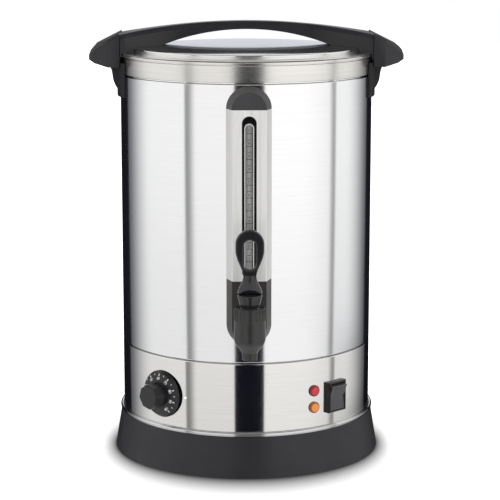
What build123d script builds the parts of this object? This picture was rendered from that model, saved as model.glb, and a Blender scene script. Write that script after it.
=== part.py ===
from build123d import *
from math import asin, cos, degrees, radians, sin, sqrt
import os

os.makedirs("parts", exist_ok=True)

# Countertop hot water urn, about 13 litres: a double-walled steel vessel on a plastic base,
# with a twist-off lid, two side handles, a sight gauge, a draw-off tap and a control panel.
# The frame: millimetres, +Z up, the vessel's axis on Z, the floor at Z = 0, the front at -Y.

# ---- vessel -------------------------------------------------------------------------------
body_radius = 130.0  # outside of the shell, the collar and the lower casing
sheet = 1.0  # their steel
tank_sheet = 0.8
jacket_gap = 4.2  # air between the shell and the tank
base_height = 42.2
casing_height = 74.9  # lower casing, up to the seam
shell_height = 278.8  # from the seam to the band's groove
collar_height = 20.4
tank_floor_rise = 6.9  # top of the tank's floor above the seam
seam_gap = 1.0
band_gap = 0.6
rim_lip_drop = 2.4  # how far the rolled lip hangs down outside the collar
rim_overhang = 0.9
lap = 7.0  # how far the shell's joggled edges reach inside its neighbours
lap_gap = 0.1  # clearance of such a lap
lap_sheet = 0.8
seat_gap = 0.1  # clearance between stacked flat pieces

tank_radius = body_radius - sheet - jacket_gap - tank_sheet
seam_height = base_height + casing_height
band_height = seam_height + shell_height
rim_top = band_height + collar_height  # the tank's rim, which the lid rests on
rim_radius = body_radius + rim_overhang
tank_floor = seam_height + tank_floor_rise

# ---- base ---------------------------------------------------------------------------------
base_neck_radius = body_radius + 2.4
base_foot_radius = base_neck_radius + 6.9
base_wall = 3.0
base_ledge_radius = body_radius - 4.0  # inner edge of the ledge that carries the casing
trim_radius = body_radius + 3.6
trim_height = 4.0
base_plate_level = 3.0  # underside of the bottom cover
base_plate_sheet = 1.0
foot_pad_radius = 8.0
foot_circle_radius = body_radius - 6.0
foot_stud_radius = 2.5
base_boss_radius = 5.0
base_boss_circle = body_radius - 9.0
notch_radius = 1.5  # small drain notches in the base's lower edge
notch_azimuth = 66.0

# ---- lid ----------------------------------------------------------------------------------
lid_sheet = 0.8
lid_rise = 5.6  # top of the lid's shoulder above the rim
lid_crown = 5.8  # how far its domed middle rises above its shoulder
lid_edge_round = 2.5
liner_drop = 12.3  # the liner's floor below the rim
liner_bead = 0.9  # bead on the liner that carries the seal
seal_width = 2.0  # space between the liner and the tank
seal_gap = 0.3  # the seal ring's clearance all round
seal_height = 4.0
lid_flange_radius = body_radius + 0.4
lid_raised_radius = body_radius - 12.8
lid_top = rim_top + lid_rise  # at the shoulder
liner_radius = tank_radius - seal_width
liner_floor = rim_top - liner_drop
seal_low = rim_top - 8.4

# ---- arch handle of the lid -----------------------------------------------------------------
arch_rise = 27.0  # crown of the arch above the lid's shoulder
arch_thickness = 8.0  # at the crown
arch_end_drop = 13.6  # how much lower the arch's ends are than its crown
arch_half_width = 13.0
arch_bevel = 4.6
shoulder_half_width = 33.0
skirt_gap = 0.4  # clearance between the arch's skirt and the rim
shoulder_skirt = 1.9
lug_half_width = 6.0
raised_gap = 0.3  # clearance between the feet and the lid's raised middle
turn_gap = 0.3  # clearance between the turning lid and the fixed handles
arch_screw_spread = 8.0
arch_screw_length = 10.9
skirt_inner = rim_radius + skirt_gap
shoulder_radius = skirt_inner + shoulder_skirt  # ends of the arch, round the vessel's axis
shoulder_bottom = rim_top - rim_lip_drop + 0.1
lug_bottom = rim_top - 6.9
arch_top = lid_top + arch_rise
arch_under = arch_top - arch_thickness
arch_foot_reach = lid_raised_radius - 24.2  # inner ends of the feet
arch_flare_start = shoulder_radius - 78.2
arch_screw_reach = shoulder_radius - 28.2

# ---- side handles ---------------------------------------------------------------------------
grip_depth = 27.5  # how far the grips stand out beyond the turning lid
grip_rise = 19.3  # top of the grips above the rim
grip_tall = 32.2  # from there down to the grip's underside
handle_seat_gap = 0.3
pad_sheet = 3.0
pad_half_angle = 18.8
pad_tall = 34.5
lug_clearance = 1.4
rib_half_width = 19.0
grip_half_width = 34.0
grip_end_half_width = 27.0
grip_bevel = 3.0
grip_corner = 6.0
grip_wall = 3.2
finger_half_width = 26.0  # pocket for the fingers, open below
handle_screw_spread = 11.0
handle_screw_rise = 12.5  # above the pad's lower edge
turning_radius = shoulder_radius + turn_gap
handle_reach = turning_radius + grip_depth
beyond = 2 * handle_reach  # reach of a cutter that clears the whole urn
grip_top = rim_top + grip_rise
grip_low = grip_top - grip_tall
pad_top = lug_bottom - lug_clearance
pad_bottom = pad_top - pad_tall
handle_screw_height = pad_bottom + handle_screw_rise

# ---- sight gauge ----------------------------------------------------------------------------
gauge_depth = 15.0  # flat front of the channel, from the shell
channel_half_width = 16.7
channel_foot_half_width = 22.3
channel_sheet = 0.9
cover_front_half_width = 17.2  # cap and shroud, at their flat fronts
cover_half_width = 23.0  # and where they meet the shell
cover_wall = 2.0
cap_drop = 24.4  # lower edge of the cap below the band's groove
tube_radius = 4.7
tube_wall = 1.0
slot_radius = 7.2
slot_margin = 5.9  # between the slot and the cap
liner_gap = 0.3
liner_back = 1.2
cap_socket_wall = 2.0
gauge_front = body_radius + gauge_depth
cover_root = body_radius - 4.0  # where their flanks start, inside the shell's radius
cap_bottom = band_height - cap_drop
tube_reach = gauge_front - cover_wall - tube_radius - 1.4
tube_top = cap_bottom + 7.5
slot_top = cap_bottom - slot_margin

# ---- tap ------------------------------------------------------------------------------------
tap_stand_off = 23.0  # tap's upright axis in front of the gauge
tap_rise = 28.0  # the shank's axis above the tank's floor
barrel_radius = 15.2
barrel_rise = 30.4
spout_drop = 21.5
spout_radius = 7.3
spout_bore = 5.5
cavity_radius = 10.0
shank_radius = 8.0
shank_bore = 4.0
shank_clearance = 0.25
bonnet_tall = 14.5
bonnet_radius = 12.0
stem_radius = 3.0
running_gap = 0.05
lever_gap = 0.1
lever_pin_radius = 1.5
lever_pin_rise = 4.0  # pin's axis above the bonnet
cam_half_depth = 6.0  # the lever's flat foot, which tips on the bonnet
loop_rise = 61.8  # top of the lever's loop above the bonnet
loop_radius = 13.9
loop_slot_radius = 5.9
loop_slot_rise = 22.7
loop_slot_tall = 29.3
loop_thickness = 7.0
neck_radius = 6.2
neck_rise = 16.8
hood_radius = 12.1
tap_reach = gauge_front + tap_stand_off
tap_level = tank_floor + tap_rise
barrel_top = tap_level + barrel_rise
spout_bottom = tap_level - spout_drop
seat_level = tap_level - 3.0
bonnet_top = barrel_top + bonnet_tall
loop_top = bonnet_top + loop_rise
loop_slot_bottom = bonnet_top + loop_slot_rise
loop_slot_top = loop_slot_bottom + loop_slot_tall
neck_level = bonnet_top + neck_rise
shroud_top = tap_level + 51.4
shroud_round_level = tap_level + 5.5
slot_bottom = shroud_top + 2.6
tube_bottom = tap_level + 34.0
elbow_socket_top = tube_bottom + 14.0

# ---- control panel --------------------------------------------------------------------------
dial_azimuth = -42.0  # degrees from the front, positive to the right
dial_radius = 24.2
dial_stand_off = 1.0
dial_rim = 3.2
dial_taper = 2.2  # how much smaller the rim is at its front
knob_grip_radius = 13.2
knob_grip_turn = 8.0  # of its corners, degrees
dial_wall = 1.6
spindle_radius = 3.0
thermostat_screw_spread = 14.0
switch_azimuth = 42.6
switch_half_width = 12.5
switch_half_height = 15.8
rocker_half_width = 10.0
rocker_half_length = 12.9
rocker_tilt = 9.0  # each way from the middle, degrees
lamp_azimuth = 30.5
lamp_pitch = 17.2
lamp_radius = 5.9
lamp_proud = 3.0
panel_level = base_height + 36.2
dial_foot = body_radius + 7.3
grip_front = body_radius + 21.8
switch_level = base_height + 32.7
switch_front = body_radius + 4.6
rocker_pivot = switch_front - 4.6
lamp_level = base_height + 33.6  # midway between the two lamps

# ---- power inlet ----------------------------------------------------------------------------
inlet_half_height = 11.5
inlet_screw_spread = 20.0
inlet_flange_margin = 6.0  # of the flange, beyond its screws
inlet_socket_half_width = 12.0
inlet_socket_half_height = 8.2
inlet_depth = 15.0
inlet_body_depth = 14.0  # of its body, behind the casing's wall
inlet_level = base_height + 35.8
inlet_front = body_radius + 3.5

# ---- heating --------------------------------------------------------------------------------
heater_radius = 78.0
heater_sheet = 5.0
element_radius = 56.0
element_section = 3.4
cutout_x = 45.0
cutout_y = 40.0
cutout_half = 12.0
reset_travel = 1.5

# ---- fasteners ------------------------------------------------------------------------------
screw_radius = 2.0
screw_head_radius = 3.8
screw_head = 1.9
screw_gap = 0.2


# ---- helpers --------------------------------------------------------------------------------
def save(piece, name):
    """Label a finished piece and write its STEP file."""
    piece.part.label = name
    export_step(piece.part, f"parts/{name}.step")


def turn(points, mode=Mode.ADD):
    """Turn a closed outline of (radius, height) points round the vessel's axis."""
    with BuildSketch(Plane.XZ) as outline:
        with BuildLine():
            Polyline(*points, close=True)
        make_face()
    revolve(outline.sketch, axis=Axis.Z, mode=mode)


def tube_up(radius, low, high, mode=Mode.ADD, at=(0, 0)):
    """An upright cylinder between two heights."""
    with BuildSketch(Plane.XY.offset(low)) as disc:
        with Locations(at):
            Circle(radius)
    extrude(disc.sketch, amount=high - low, mode=mode)


def block(low, high, mode=Mode.ADD):
    """A rectangular block between two opposite corners."""
    with BuildSketch(Plane.XY.offset(low[2])) as face:
        with Locations(((low[0] + high[0]) / 2, (low[1] + high[1]) / 2)):
            Rectangle(high[0] - low[0], high[1] - low[1])
    extrude(face.sketch, amount=high[2] - low[2], mode=mode)


def panel(azimuth, height, reach):
    """A plane that faces outwards from the vessel: its x runs along the wall, its y up."""
    a = radians(azimuth)
    out = (sin(a), -cos(a), 0)
    return Plane(origin=(reach * out[0], reach * out[1], height), x_dir=(cos(a), sin(a), 0), z_dir=out)


def rod(plane, radius, length, mode=Mode.ADD, at=(0, 0)):
    """A round bar that grows from a plane along its normal."""
    with BuildSketch(plane) as disc:
        with Locations(at):
            Circle(radius)
    extrude(disc.sketch, amount=length, mode=mode)


def bar(plane, width, height, length, mode=Mode.ADD, at=(0, 0)):
    """A rectangular bar that grows from a plane along its normal."""
    with BuildSketch(plane) as face:
        with Locations(at):
            Rectangle(width, height)
    extrude(face.sketch, amount=length, mode=mode)


def widest_edges(piece):
    """The round edges of the largest radius, lowest first."""
    return piece.edges().filter_by(GeomType.CIRCLE).group_by(SortBy.RADIUS)[-1].sort_by(Axis.Z)


def wall_reach(radius, offset):
    """Distance of a round wall from the axis, measured square to a chord at this offset."""
    return sqrt(radius**2 - offset**2)


def arc_radius(half_chord, rise):
    """Radius of an arc that rises this much over a chord."""
    return (half_chord**2 + rise**2) / (2 * rise)


def dome_level(radius):
    """Height of the lid's domed top at this distance from the axis."""
    dome_radius = arc_radius(lid_raised_radius, lid_crown)
    return lid_top + lid_crown - dome_radius + sqrt(dome_radius**2 - radius**2)


def lid_dome(lift, edge=lid_raised_radius):
    """The half outline of the lid's dome, lifted by this much, in the current line."""
    middle = edge / 2
    ThreePointArc(
        (edge, dome_level(edge) + lift),
        (middle, dome_level(middle) + lift),
        (0, dome_level(0) + lift),
    )


# ---- base -----------------------------------------------------------------------------------
base_slope = (base_foot_radius - base_neck_radius) / base_height
boss_places = PolarLocations(base_boss_circle, 4)
foot_places = PolarLocations(foot_circle_radius, 4, start_angle=45)

with BuildPart() as base_housing:
    turn(
        [
            (base_foot_radius, 0),
            (base_neck_radius, base_height),
            (base_ledge_radius, base_height),
            (base_ledge_radius, base_height - base_wall),
            (base_neck_radius + base_slope * base_wall - base_wall, base_height - base_wall),
            (base_foot_radius - base_wall, 0),
        ]
    )
    fillet(widest_edges(base_housing)[0], radius=1.2)
    with BuildSketch(Plane.XY.offset(base_plate_level + base_plate_sheet)) as bosses:
        with boss_places:
            Circle(base_boss_radius)
            with Locations((base_boss_radius, 0)):
                Rectangle(2 * base_boss_radius + 4, base_wall)
    extrude(bosses.sketch, amount=base_height - base_wall - base_plate_level - base_plate_sheet)
    with BuildSketch(Plane.XY.offset(base_plate_level)) as boss_bores:
        with boss_places:
            Circle(screw_radius + screw_gap)
    extrude(boss_bores.sketch, amount=14, mode=Mode.SUBTRACT)
    for azimuth in (-notch_azimuth, notch_azimuth):
        rod(panel(azimuth, 0, base_foot_radius - 2 * base_wall), notch_radius, 3 * base_wall, Mode.SUBTRACT)
save(base_housing, "base_housing")

plate_low = base_plate_level
plate_high = base_plate_level + base_plate_sheet
with BuildPart() as base_plate:
    tube_up(base_foot_radius - base_wall - 2.0, plate_low, plate_high)
    with BuildSketch(Plane.XY.offset(plate_low)) as plate_holes:
        with boss_places:
            Circle(screw_radius + screw_gap)
        with foot_places:
            Circle(foot_stud_radius + screw_gap)
        with Locations((cutout_x, cutout_y)):
            Circle(5.0)
        with PolarLocations(70, 12):
            SlotOverall(22, 4, rotation=90)
    extrude(plate_holes.sketch, amount=base_plate_sheet, mode=Mode.SUBTRACT)
save(base_plate, "base_plate")

with BuildPart() as base_plate_screws:
    with BuildSketch(Plane.XY.offset(plate_low - screw_head)) as heads:
        with boss_places:
            Circle(screw_head_radius)
    extrude(heads.sketch, amount=screw_head)
    with BuildSketch(Plane.XY.offset(plate_low)) as shafts:
        with boss_places:
            Circle(screw_radius)
    extrude(shafts.sketch, amount=12)
save(base_plate_screws, "base_plate_screws")

with BuildPart() as rubber_feet:
    with BuildSketch(Plane.XY) as pads:
        with foot_places:
            Circle(foot_pad_radius)
    extrude(pads.sketch, amount=plate_low)
    with BuildSketch(Plane.XY.offset(plate_low)) as studs:
        with foot_places:
            Circle(foot_stud_radius)
    extrude(studs.sketch, amount=2 * base_plate_sheet)
save(rubber_feet, "rubber_feet")

# ---- vessel ---------------------------------------------------------------------------------
trim_low = base_height + seat_gap
with BuildPart() as trim_ring:
    turn(
        [
            (body_radius + lap_gap, trim_low),
            (trim_radius, trim_low),
            (trim_radius, trim_low + trim_height),
            (body_radius + lap_gap, trim_low + trim_height),
        ]
    )
    fillet(widest_edges(trim_ring), radius=trim_height / 2 - 0.1)
save(trim_ring, "trim_ring")

casing_top = seam_height - seam_gap / 2
shell_low = seam_height + seam_gap / 2
shell_high = band_height - band_gap / 2
collar_low = band_height + band_gap / 2
inner_radius = body_radius - sheet
dial_bore = 5.5
switch_body_half_width = switch_half_width - 1.5
switch_body_half_height = switch_half_height - 1.0
lamp_bore = 4.5
lamp_levels = (lamp_level + lamp_pitch / 2, lamp_level - lamp_pitch / 2)
inlet_body_half_width = inlet_socket_half_width + 1.5
inlet_body_half_height = inlet_socket_half_height + 1.5
through_wall = 4 * sheet

with BuildPart() as lower_casing:
    turn(
        [
            (body_radius, trim_low),
            (body_radius, casing_top),
            (inner_radius, casing_top),
            (inner_radius, trim_low + sheet),
            (base_ledge_radius + 0.5, trim_low + sheet),
            (base_ledge_radius + 0.5, trim_low),
        ]
    )
    hole_start = inner_radius - through_wall
    rod(panel(dial_azimuth, panel_level, hole_start), dial_bore, 2 * through_wall, Mode.SUBTRACT)
    for side in (-1, 1):
        place = (side * thermostat_screw_spread, 0)
        rod(
            panel(dial_azimuth, panel_level, hole_start),
            screw_radius + screw_gap,
            2 * through_wall,
            Mode.SUBTRACT,
            place,
        )
    bar(
        panel(switch_azimuth, switch_level, hole_start),
        2 * (switch_body_half_width + screw_gap),
        2 * (switch_body_half_height + screw_gap),
        2 * through_wall,
        Mode.SUBTRACT,
    )
    for level in lamp_levels:
        rod(panel(lamp_azimuth, level, hole_start), lamp_bore, 2 * through_wall, Mode.SUBTRACT)
    bar(
        panel(180, inlet_level, hole_start),
        2 * (inlet_body_half_width + screw_gap),
        2 * (inlet_body_half_height + screw_gap),
        2 * through_wall,
        Mode.SUBTRACT,
    )
    for side in (-1, 1):
        rod(
            panel(180, inlet_level, hole_start),
            screw_radius + screw_gap,
            2 * through_wall,
            Mode.SUBTRACT,
            (side * inlet_screw_spread, 0),
        )
save(lower_casing, "lower_casing")

lap_outer = inner_radius - lap_gap
lap_inner = lap_outer - lap_sheet
with BuildPart() as outer_shell:
    turn(
        [
            (body_radius, shell_low),
            (body_radius, shell_high),
            (lap_outer, shell_high),
            (lap_outer, shell_high + lap),
            (lap_inner, shell_high + lap),
            (lap_inner, shell_high - lap / 2),
            (inner_radius, shell_high - lap / 2 - sheet),
            (inner_radius, shell_low + lap / 2 + sheet),
            (lap_inner, shell_low + lap / 2),
            (lap_inner, shell_low - lap),
            (lap_outer, shell_low - lap),
            (lap_outer, shell_low),
        ]
    )
    rod(panel(0, tap_level, tank_radius), shank_radius + shank_clearance, 10, Mode.SUBTRACT)
    for azimuth in (-90, 90):
        for side in (-1, 1):
            rod(
                panel(azimuth, handle_screw_height, tank_radius + 1),
                screw_radius + screw_gap,
                10,
                Mode.SUBTRACT,
                (side * handle_screw_spread, 0),
            )
save(outer_shell, "outer_shell")

rim_under = rim_top - tank_sheet
with BuildPart() as top_collar:
    turn(
        [
            (body_radius, collar_low),
            (body_radius, rim_under),
            (inner_radius, rim_under),
            (inner_radius, collar_low),
        ]
    )
save(top_collar, "top_collar")

tank_outer = tank_radius + tank_sheet
with BuildPart() as tank:
    turn(
        [
            (0, tank_floor - tank_sheet),
            (tank_outer, tank_floor - tank_sheet),
            (tank_outer, rim_under),
            (body_radius + lap_gap, rim_under),
            (body_radius + lap_gap, rim_top - rim_lip_drop),
            (rim_radius, rim_top - rim_lip_drop),
            (rim_radius, rim_top),
            (tank_radius, rim_top),
            (tank_radius, tank_floor),
            (0, tank_floor),
        ]
    )
    fillet(widest_edges(tank)[-1], radius=tank_sheet / 2)
    rod(panel(0, tap_level, tank_radius - 10), shank_radius + shank_clearance, 20, Mode.SUBTRACT)
save(tank, "tank")

# ---- heating --------------------------------------------------------------------------------
heater_top = tank_floor - tank_sheet
heater_low = heater_top - heater_sheet
element_level = heater_low - element_section - seat_gap
element_sweep = 300.0
cold_end_drop = 16.0
with BuildPart() as heater_plate:
    tube_up(heater_radius, heater_low, heater_top)
    chamfer(heater_plate.edges().sort_by(Axis.Z)[0], length=1.5)
save(heater_plate, "heater_plate")

with BuildPart() as heating_element:
    with BuildSketch(Plane.XZ) as element_round:
        with Locations((element_radius, element_level)):
            Circle(element_section)
    revolve(element_round.sketch, axis=Axis.Z, revolution_arc=element_sweep)
    for angle in (0.0, element_sweep):
        a = radians(angle)
        end = (element_radius * cos(a), element_radius * sin(a))
        tube_up(element_section, element_level - cold_end_drop, element_level, at=end)
save(heating_element, "heating_element")

with BuildPart() as element_terminals:
    for angle in (0.0, element_sweep):
        a = radians(angle)
        end = (element_radius * cos(a), element_radius * sin(a))
        low = element_level - cold_end_drop
        tube_up(1.6, low - 6, low, at=end)
        block((end[0] - 3.2, end[1] - 0.4, low - 14), (end[0] + 3.2, end[1] + 0.4, low - 6))
save(element_terminals, "element_terminals")

bulb_x = -30.0
bulb_radius = 3.0
bulb_y = 4.0
bulb_half_length = 28.0
bulb_level = heater_low - bulb_radius - seat_gap
with BuildPart() as sensor_bulb:
    bulb_plane = Plane.XZ.offset(-bulb_y - bulb_half_length)
    rod(bulb_plane, bulb_radius, 2 * bulb_half_length, at=(bulb_x, bulb_level))
save(sensor_bulb, "sensor_bulb")

with BuildPart() as bulb_clip:
    clip_half = bulb_radius + 1.4
    block((bulb_x - clip_half, -6, bulb_level - clip_half), (bulb_x + clip_half, 6, heater_low))
    block((bulb_x - clip_half - 6, -6, heater_low - 1.2), (bulb_x + clip_half + 6, 6, heater_low))
    rod(Plane.XZ.offset(-8), bulb_radius + running_gap, 16, Mode.SUBTRACT, (bulb_x, bulb_level))
    block((bulb_x - bulb_radius, -8, bulb_level), (bulb_x + bulb_radius, 8, heater_low + 1), Mode.SUBTRACT)
save(bulb_clip, "bulb_clip")

# ---- thermostat and dial ----------------------------------------------------------------------
thermostat_front = wall_reach(inner_radius, thermostat_screw_spread) - 3.0
thermostat_half = 19.0
thermostat_depth = 22.0
dial_back = body_radius + dial_stand_off
spindle_end = grip_front - 6.0
dial_front = dial_back + dial_rim
with BuildPart() as thermostat_body:
    bar(panel(dial_azimuth, panel_level, thermostat_front - 2), 2 * thermostat_half, 24, 2)
    bar(
        panel(dial_azimuth, panel_level, thermostat_front - 2 - thermostat_depth),
        2 * thermostat_half - 6,
        2 * thermostat_half - 6,
        thermostat_depth,
    )
    neck_length = body_radius - thermostat_front
    rod(panel(dial_azimuth, panel_level, thermostat_front), dial_bore - 0.5, neck_length)
    rod(
        panel(dial_azimuth, panel_level, thermostat_front - thermostat_depth / 2),
        spindle_radius + running_gap,
        thermostat_depth,
        Mode.SUBTRACT,
    )
    for side in (-1, 1):
        place = (side * thermostat_screw_spread, 0)
        post = wall_reach(inner_radius, thermostat_screw_spread + 3.5) - thermostat_front
        rod(panel(dial_azimuth, panel_level, thermostat_front), 3.5, post, at=place)
        rod(
            panel(dial_azimuth, panel_level, thermostat_front - 6),
            screw_radius + screw_gap,
            20,
            Mode.SUBTRACT,
            place,
        )
save(thermostat_body, "thermostat_body")

with BuildPart() as thermostat_screws:
    head_seat = wall_reach(body_radius, thermostat_screw_spread - screw_head_radius)
    for side in (-1, 1):
        place = (side * thermostat_screw_spread, 0)
        rod(panel(dial_azimuth, panel_level, head_seat), screw_head_radius, screw_head - 0.5, at=place)
        shaft_start = thermostat_front - 4
        rod(panel(dial_azimuth, panel_level, shaft_start), screw_radius, head_seat - shaft_start, at=place)
save(thermostat_screws, "thermostat_screws")

with BuildPart() as thermostat_spindle:
    rod(
        panel(dial_azimuth, panel_level, thermostat_front - thermostat_depth / 2 + 1),
        spindle_radius,
        spindle_end - thermostat_front + thermostat_depth / 2 - 1,
    )
save(thermostat_spindle, "thermostat_spindle")

dial_plane = panel(dial_azimuth, panel_level, 0)
with BuildPart() as dial_knob:
    with BuildSketch(panel(dial_azimuth, panel_level, dial_back)) as rim_back:
        Circle(dial_radius)
    with BuildSketch(panel(dial_azimuth, panel_level, dial_front)) as rim_front:
        Circle(dial_radius - dial_taper)
    loft([rim_back.sketch, rim_front.sketch])
    with BuildSketch(panel(dial_azimuth, panel_level, dial_foot)) as cone_high:
        Circle(knob_grip_radius + 0.6)
    loft([rim_front.sketch, cone_high.sketch])
    with BuildSketch(panel(dial_azimuth, panel_level, dial_foot)) as grip_foot:
        RegularPolygon(knob_grip_radius, 8, major_radius=True, rotation=knob_grip_turn)
        fillet(grip_foot.vertices(), radius=2.2)
    extrude(grip_foot.sketch, amount=grip_front - dial_foot, taper=2.0)
    front_face = dial_knob.faces().sort_by(Axis(dial_plane.origin, dial_plane.z_dir))[-1]
    chamfer(front_face.edges(), length=1.1)
    rod(
        panel(dial_azimuth, panel_level, dial_back),
        dial_radius - dial_taper - dial_wall,
        dial_rim - 0.8,
        Mode.SUBTRACT,
    )
    rod(
        panel(dial_azimuth, panel_level, dial_back),
        spindle_radius + running_gap,
        spindle_end + running_gap - dial_back,
        Mode.SUBTRACT,
    )
save(dial_knob, "dial_knob")

# ---- switch -----------------------------------------------------------------------------------
opening_half_width = rocker_half_width + 0.3
opening_half_length = rocker_half_length + 1.1
switch_depth = 26.0
rocker_pin_radius = 1.2
pivot_front = panel(switch_azimuth, switch_level, rocker_pivot)
pivot_plane = Plane(origin=pivot_front.origin, x_dir=-pivot_front.z_dir, z_dir=pivot_front.x_dir)
tilt = radians(rocker_tilt)
tilted_inwards = -pivot_front.z_dir * cos(tilt) + pivot_front.y_dir * sin(tilt)
rocker_plane = Plane(origin=pivot_front.origin, x_dir=tilted_inwards, z_dir=pivot_front.x_dir)
with BuildPart() as switch_housing:
    bar(
        panel(switch_azimuth, switch_level, inner_radius - sheet),
        2 * switch_half_width,
        2 * switch_half_height,
        switch_front - inner_radius + sheet,
    )
    tube_up(body_radius + seat_gap, 0, seam_height, Mode.SUBTRACT)
    bezel_axis = Axis((0, 0, 0), panel(switch_azimuth, 0, 0).z_dir)
    chamfer(switch_housing.faces().sort_by(bezel_axis)[-1].edges(), length=0.9)
    bar(
        panel(switch_azimuth, switch_level, switch_front - switch_depth),
        2 * switch_body_half_width,
        2 * switch_body_half_height,
        switch_depth - 3,
    )
    bar(
        panel(switch_azimuth, switch_level, switch_front - switch_depth + 3),
        2 * opening_half_width,
        2 * opening_half_length,
        switch_depth,
        Mode.SUBTRACT,
    )
    with BuildSketch(pivot_plane) as pivot_hole:
        Circle(rocker_pin_radius + running_gap)
    extrude(pivot_hole.sketch, amount=opening_half_width + 0.9, both=True, mode=Mode.SUBTRACT)
save(switch_housing, "switch_housing")

with BuildPart() as switch_rocker:
    with BuildSketch(rocker_plane) as rocker_side:
        with BuildLine():
            Polyline(
                (-6.0, rocker_half_length),
                (-3.2, 0),
                (-6.0, -rocker_half_length),
                (2.0, -rocker_half_length),
                (6.0, -rocker_half_length / 2),
                (6.0, rocker_half_length / 2),
                (2.0, rocker_half_length),
                close=True,
            )
        make_face()
    extrude(rocker_side.sketch, amount=rocker_half_width, both=True)
    with BuildSketch(pivot_plane) as rocker_pins:
        Circle(rocker_pin_radius)
    extrude(rocker_pins.sketch, amount=opening_half_width + 0.8, both=True)
save(switch_rocker, "switch_rocker")

# ---- lamps ------------------------------------------------------------------------------------
lamp_seat = body_radius + seat_gap
lamp_axis = Axis((0, 0, 0), panel(lamp_azimuth, 0, 0).z_dir)


def lamp_lens(level):
    """A domed lens whose stem passes through the casing, in the current part."""
    rod(panel(lamp_azimuth, level, lamp_seat), lamp_radius, 1.2)
    with BuildSketch(panel(lamp_azimuth, level, lamp_seat + 1.2)) as dome_foot:
        Circle(lamp_radius - 0.5)
    extrude(dome_foot.sketch, amount=lamp_proud - 1.2, taper=18)
    rod(panel(lamp_azimuth, level, inner_radius - 5), lamp_bore - 0.3, lamp_seat + 0.5 - inner_radius + 5)


with BuildPart() as red_lens:
    lamp_lens(lamp_levels[0])
    front_rim = red_lens.edges().filter_by(GeomType.CIRCLE).sort_by(lamp_axis)
    fillet(front_rim[-1], radius=0.9)
save(red_lens, "red_lens")

with BuildPart() as amber_lens:
    lamp_lens(lamp_levels[1])
    front_rim = amber_lens.edges().filter_by(GeomType.CIRCLE).sort_by(lamp_axis)
    fillet(front_rim[-1], radius=0.9)
save(amber_lens, "amber_lens")

holder_front = wall_reach(inner_radius, lamp_radius) - seat_gap
holder_length = 22.0
with BuildPart() as lamp_holders:
    for level in lamp_levels:
        rod(panel(lamp_azimuth, level, holder_front - holder_length), lamp_radius, holder_length)
        rod(panel(lamp_azimuth, level, holder_front - 8), lamp_bore - 0.2, 9, Mode.SUBTRACT)
save(lamp_holders, "lamp_holders")

# ---- power inlet ------------------------------------------------------------------------------
inlet_back = inner_radius - inlet_body_depth
inlet_inside = inlet_front - inlet_depth
with BuildPart() as power_inlet:
    bar(
        panel(180, inlet_level, inner_radius),
        2 * (inlet_screw_spread + inlet_flange_margin),
        2 * inlet_half_height,
        inlet_front - inner_radius,
    )
    chamfer(power_inlet.faces().sort_by(Axis.Y)[-1].edges(), length=1.2)
    tube_up(body_radius + seat_gap, 0, seam_height, Mode.SUBTRACT)
    bar(
        panel(180, inlet_level, inlet_back),
        2 * inlet_body_half_width,
        2 * inlet_body_half_height,
        inlet_front - 1.5 - inlet_back,
    )
    with BuildSketch(panel(180, inlet_level, inlet_inside)) as socket:
        Rectangle(2 * inlet_socket_half_width, 2 * inlet_socket_half_height)
        chamfer(socket.vertices().group_by(Axis.Z)[-1], length=4.0)
    extrude(socket.sketch, amount=inlet_depth + 1, mode=Mode.SUBTRACT)
    for side in (-1, 1):
        place = (side * inlet_screw_spread, 0)
        rod(panel(180, inlet_level, inner_radius - 4), screw_radius + screw_gap, 20, Mode.SUBTRACT, place)
save(power_inlet, "power_inlet")

pin_places = ((-7.0, -1.5), (7.0, -1.5), (0.0, 2.5))
with BuildPart() as inlet_pins:
    for place in pin_places:
        bar(panel(180, inlet_level, inlet_inside), 2.0, 4.0, inlet_depth - 3, at=place)
save(inlet_pins, "inlet_pins")

with BuildPart() as inlet_screws:
    for side in (-1, 1):
        place = (side * inlet_screw_spread, 0)
        rod(panel(180, inlet_level, inlet_front), screw_head_radius - 0.6, screw_head, at=place)
        rod(panel(180, inlet_level, inner_radius - 6), screw_radius, inlet_front - inner_radius + 6, at=place)
save(inlet_screws, "inlet_screws")

# ---- controls inside the base -------------------------------------------------------------------
inside_floor = plate_high
with BuildPart() as overheat_cutout:
    block(
        (cutout_x - cutout_half, cutout_y - cutout_half, inside_floor),
        (cutout_x + cutout_half, cutout_y + cutout_half, inside_floor + 18),
    )
    tube_up(4.8, plate_low - 1.0, inside_floor, at=(cutout_x, cutout_y))
    tube_up(3.0 + running_gap, plate_low - 1.0, inside_floor + 6, Mode.SUBTRACT, (cutout_x, cutout_y))
save(overheat_cutout, "overheat_cutout")

with BuildPart() as reset_button:
    tube_up(3.0, plate_low - 0.8, inside_floor + 6 - 2 * reset_travel, at=(cutout_x, cutout_y))
    fillet(reset_button.edges().sort_by(Axis.Z)[0], radius=0.6)
save(reset_button, "reset_button")

block_y = 62.0
with BuildPart() as terminal_block:
    block((-24, block_y, inside_floor), (24, block_y + 20, inside_floor + 14))
    with BuildSketch(Plane.XY.offset(inside_floor + 14)) as wells:
        with Locations((0, block_y + 10)):
            with GridLocations(11, 11, 4, 2):
                Circle(3.0)
    extrude(wells.sketch, amount=-9, mode=Mode.SUBTRACT)
save(terminal_block, "terminal_block")

with BuildPart() as terminal_screws:
    with BuildSketch(Plane.XY.offset(inside_floor + 5)) as well_screws:
        with Locations((0, block_y + 10)):
            with GridLocations(11, 11, 4, 2):
                Circle(2.6)
    extrude(well_screws.sketch, amount=5)
save(terminal_screws, "terminal_screws")

# ---- sight gauge --------------------------------------------------------------------------------
flank_depth = gauge_front - cover_root
cover_taper = degrees(asin((cover_half_width - cover_front_half_width) / flank_depth))
body_seat = body_radius + handle_seat_gap
channel_low = shroud_top + seat_gap
channel_high = cap_bottom - seat_gap
slot_middle = (slot_top + slot_bottom) / 2
slot_length = slot_top - slot_bottom


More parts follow.
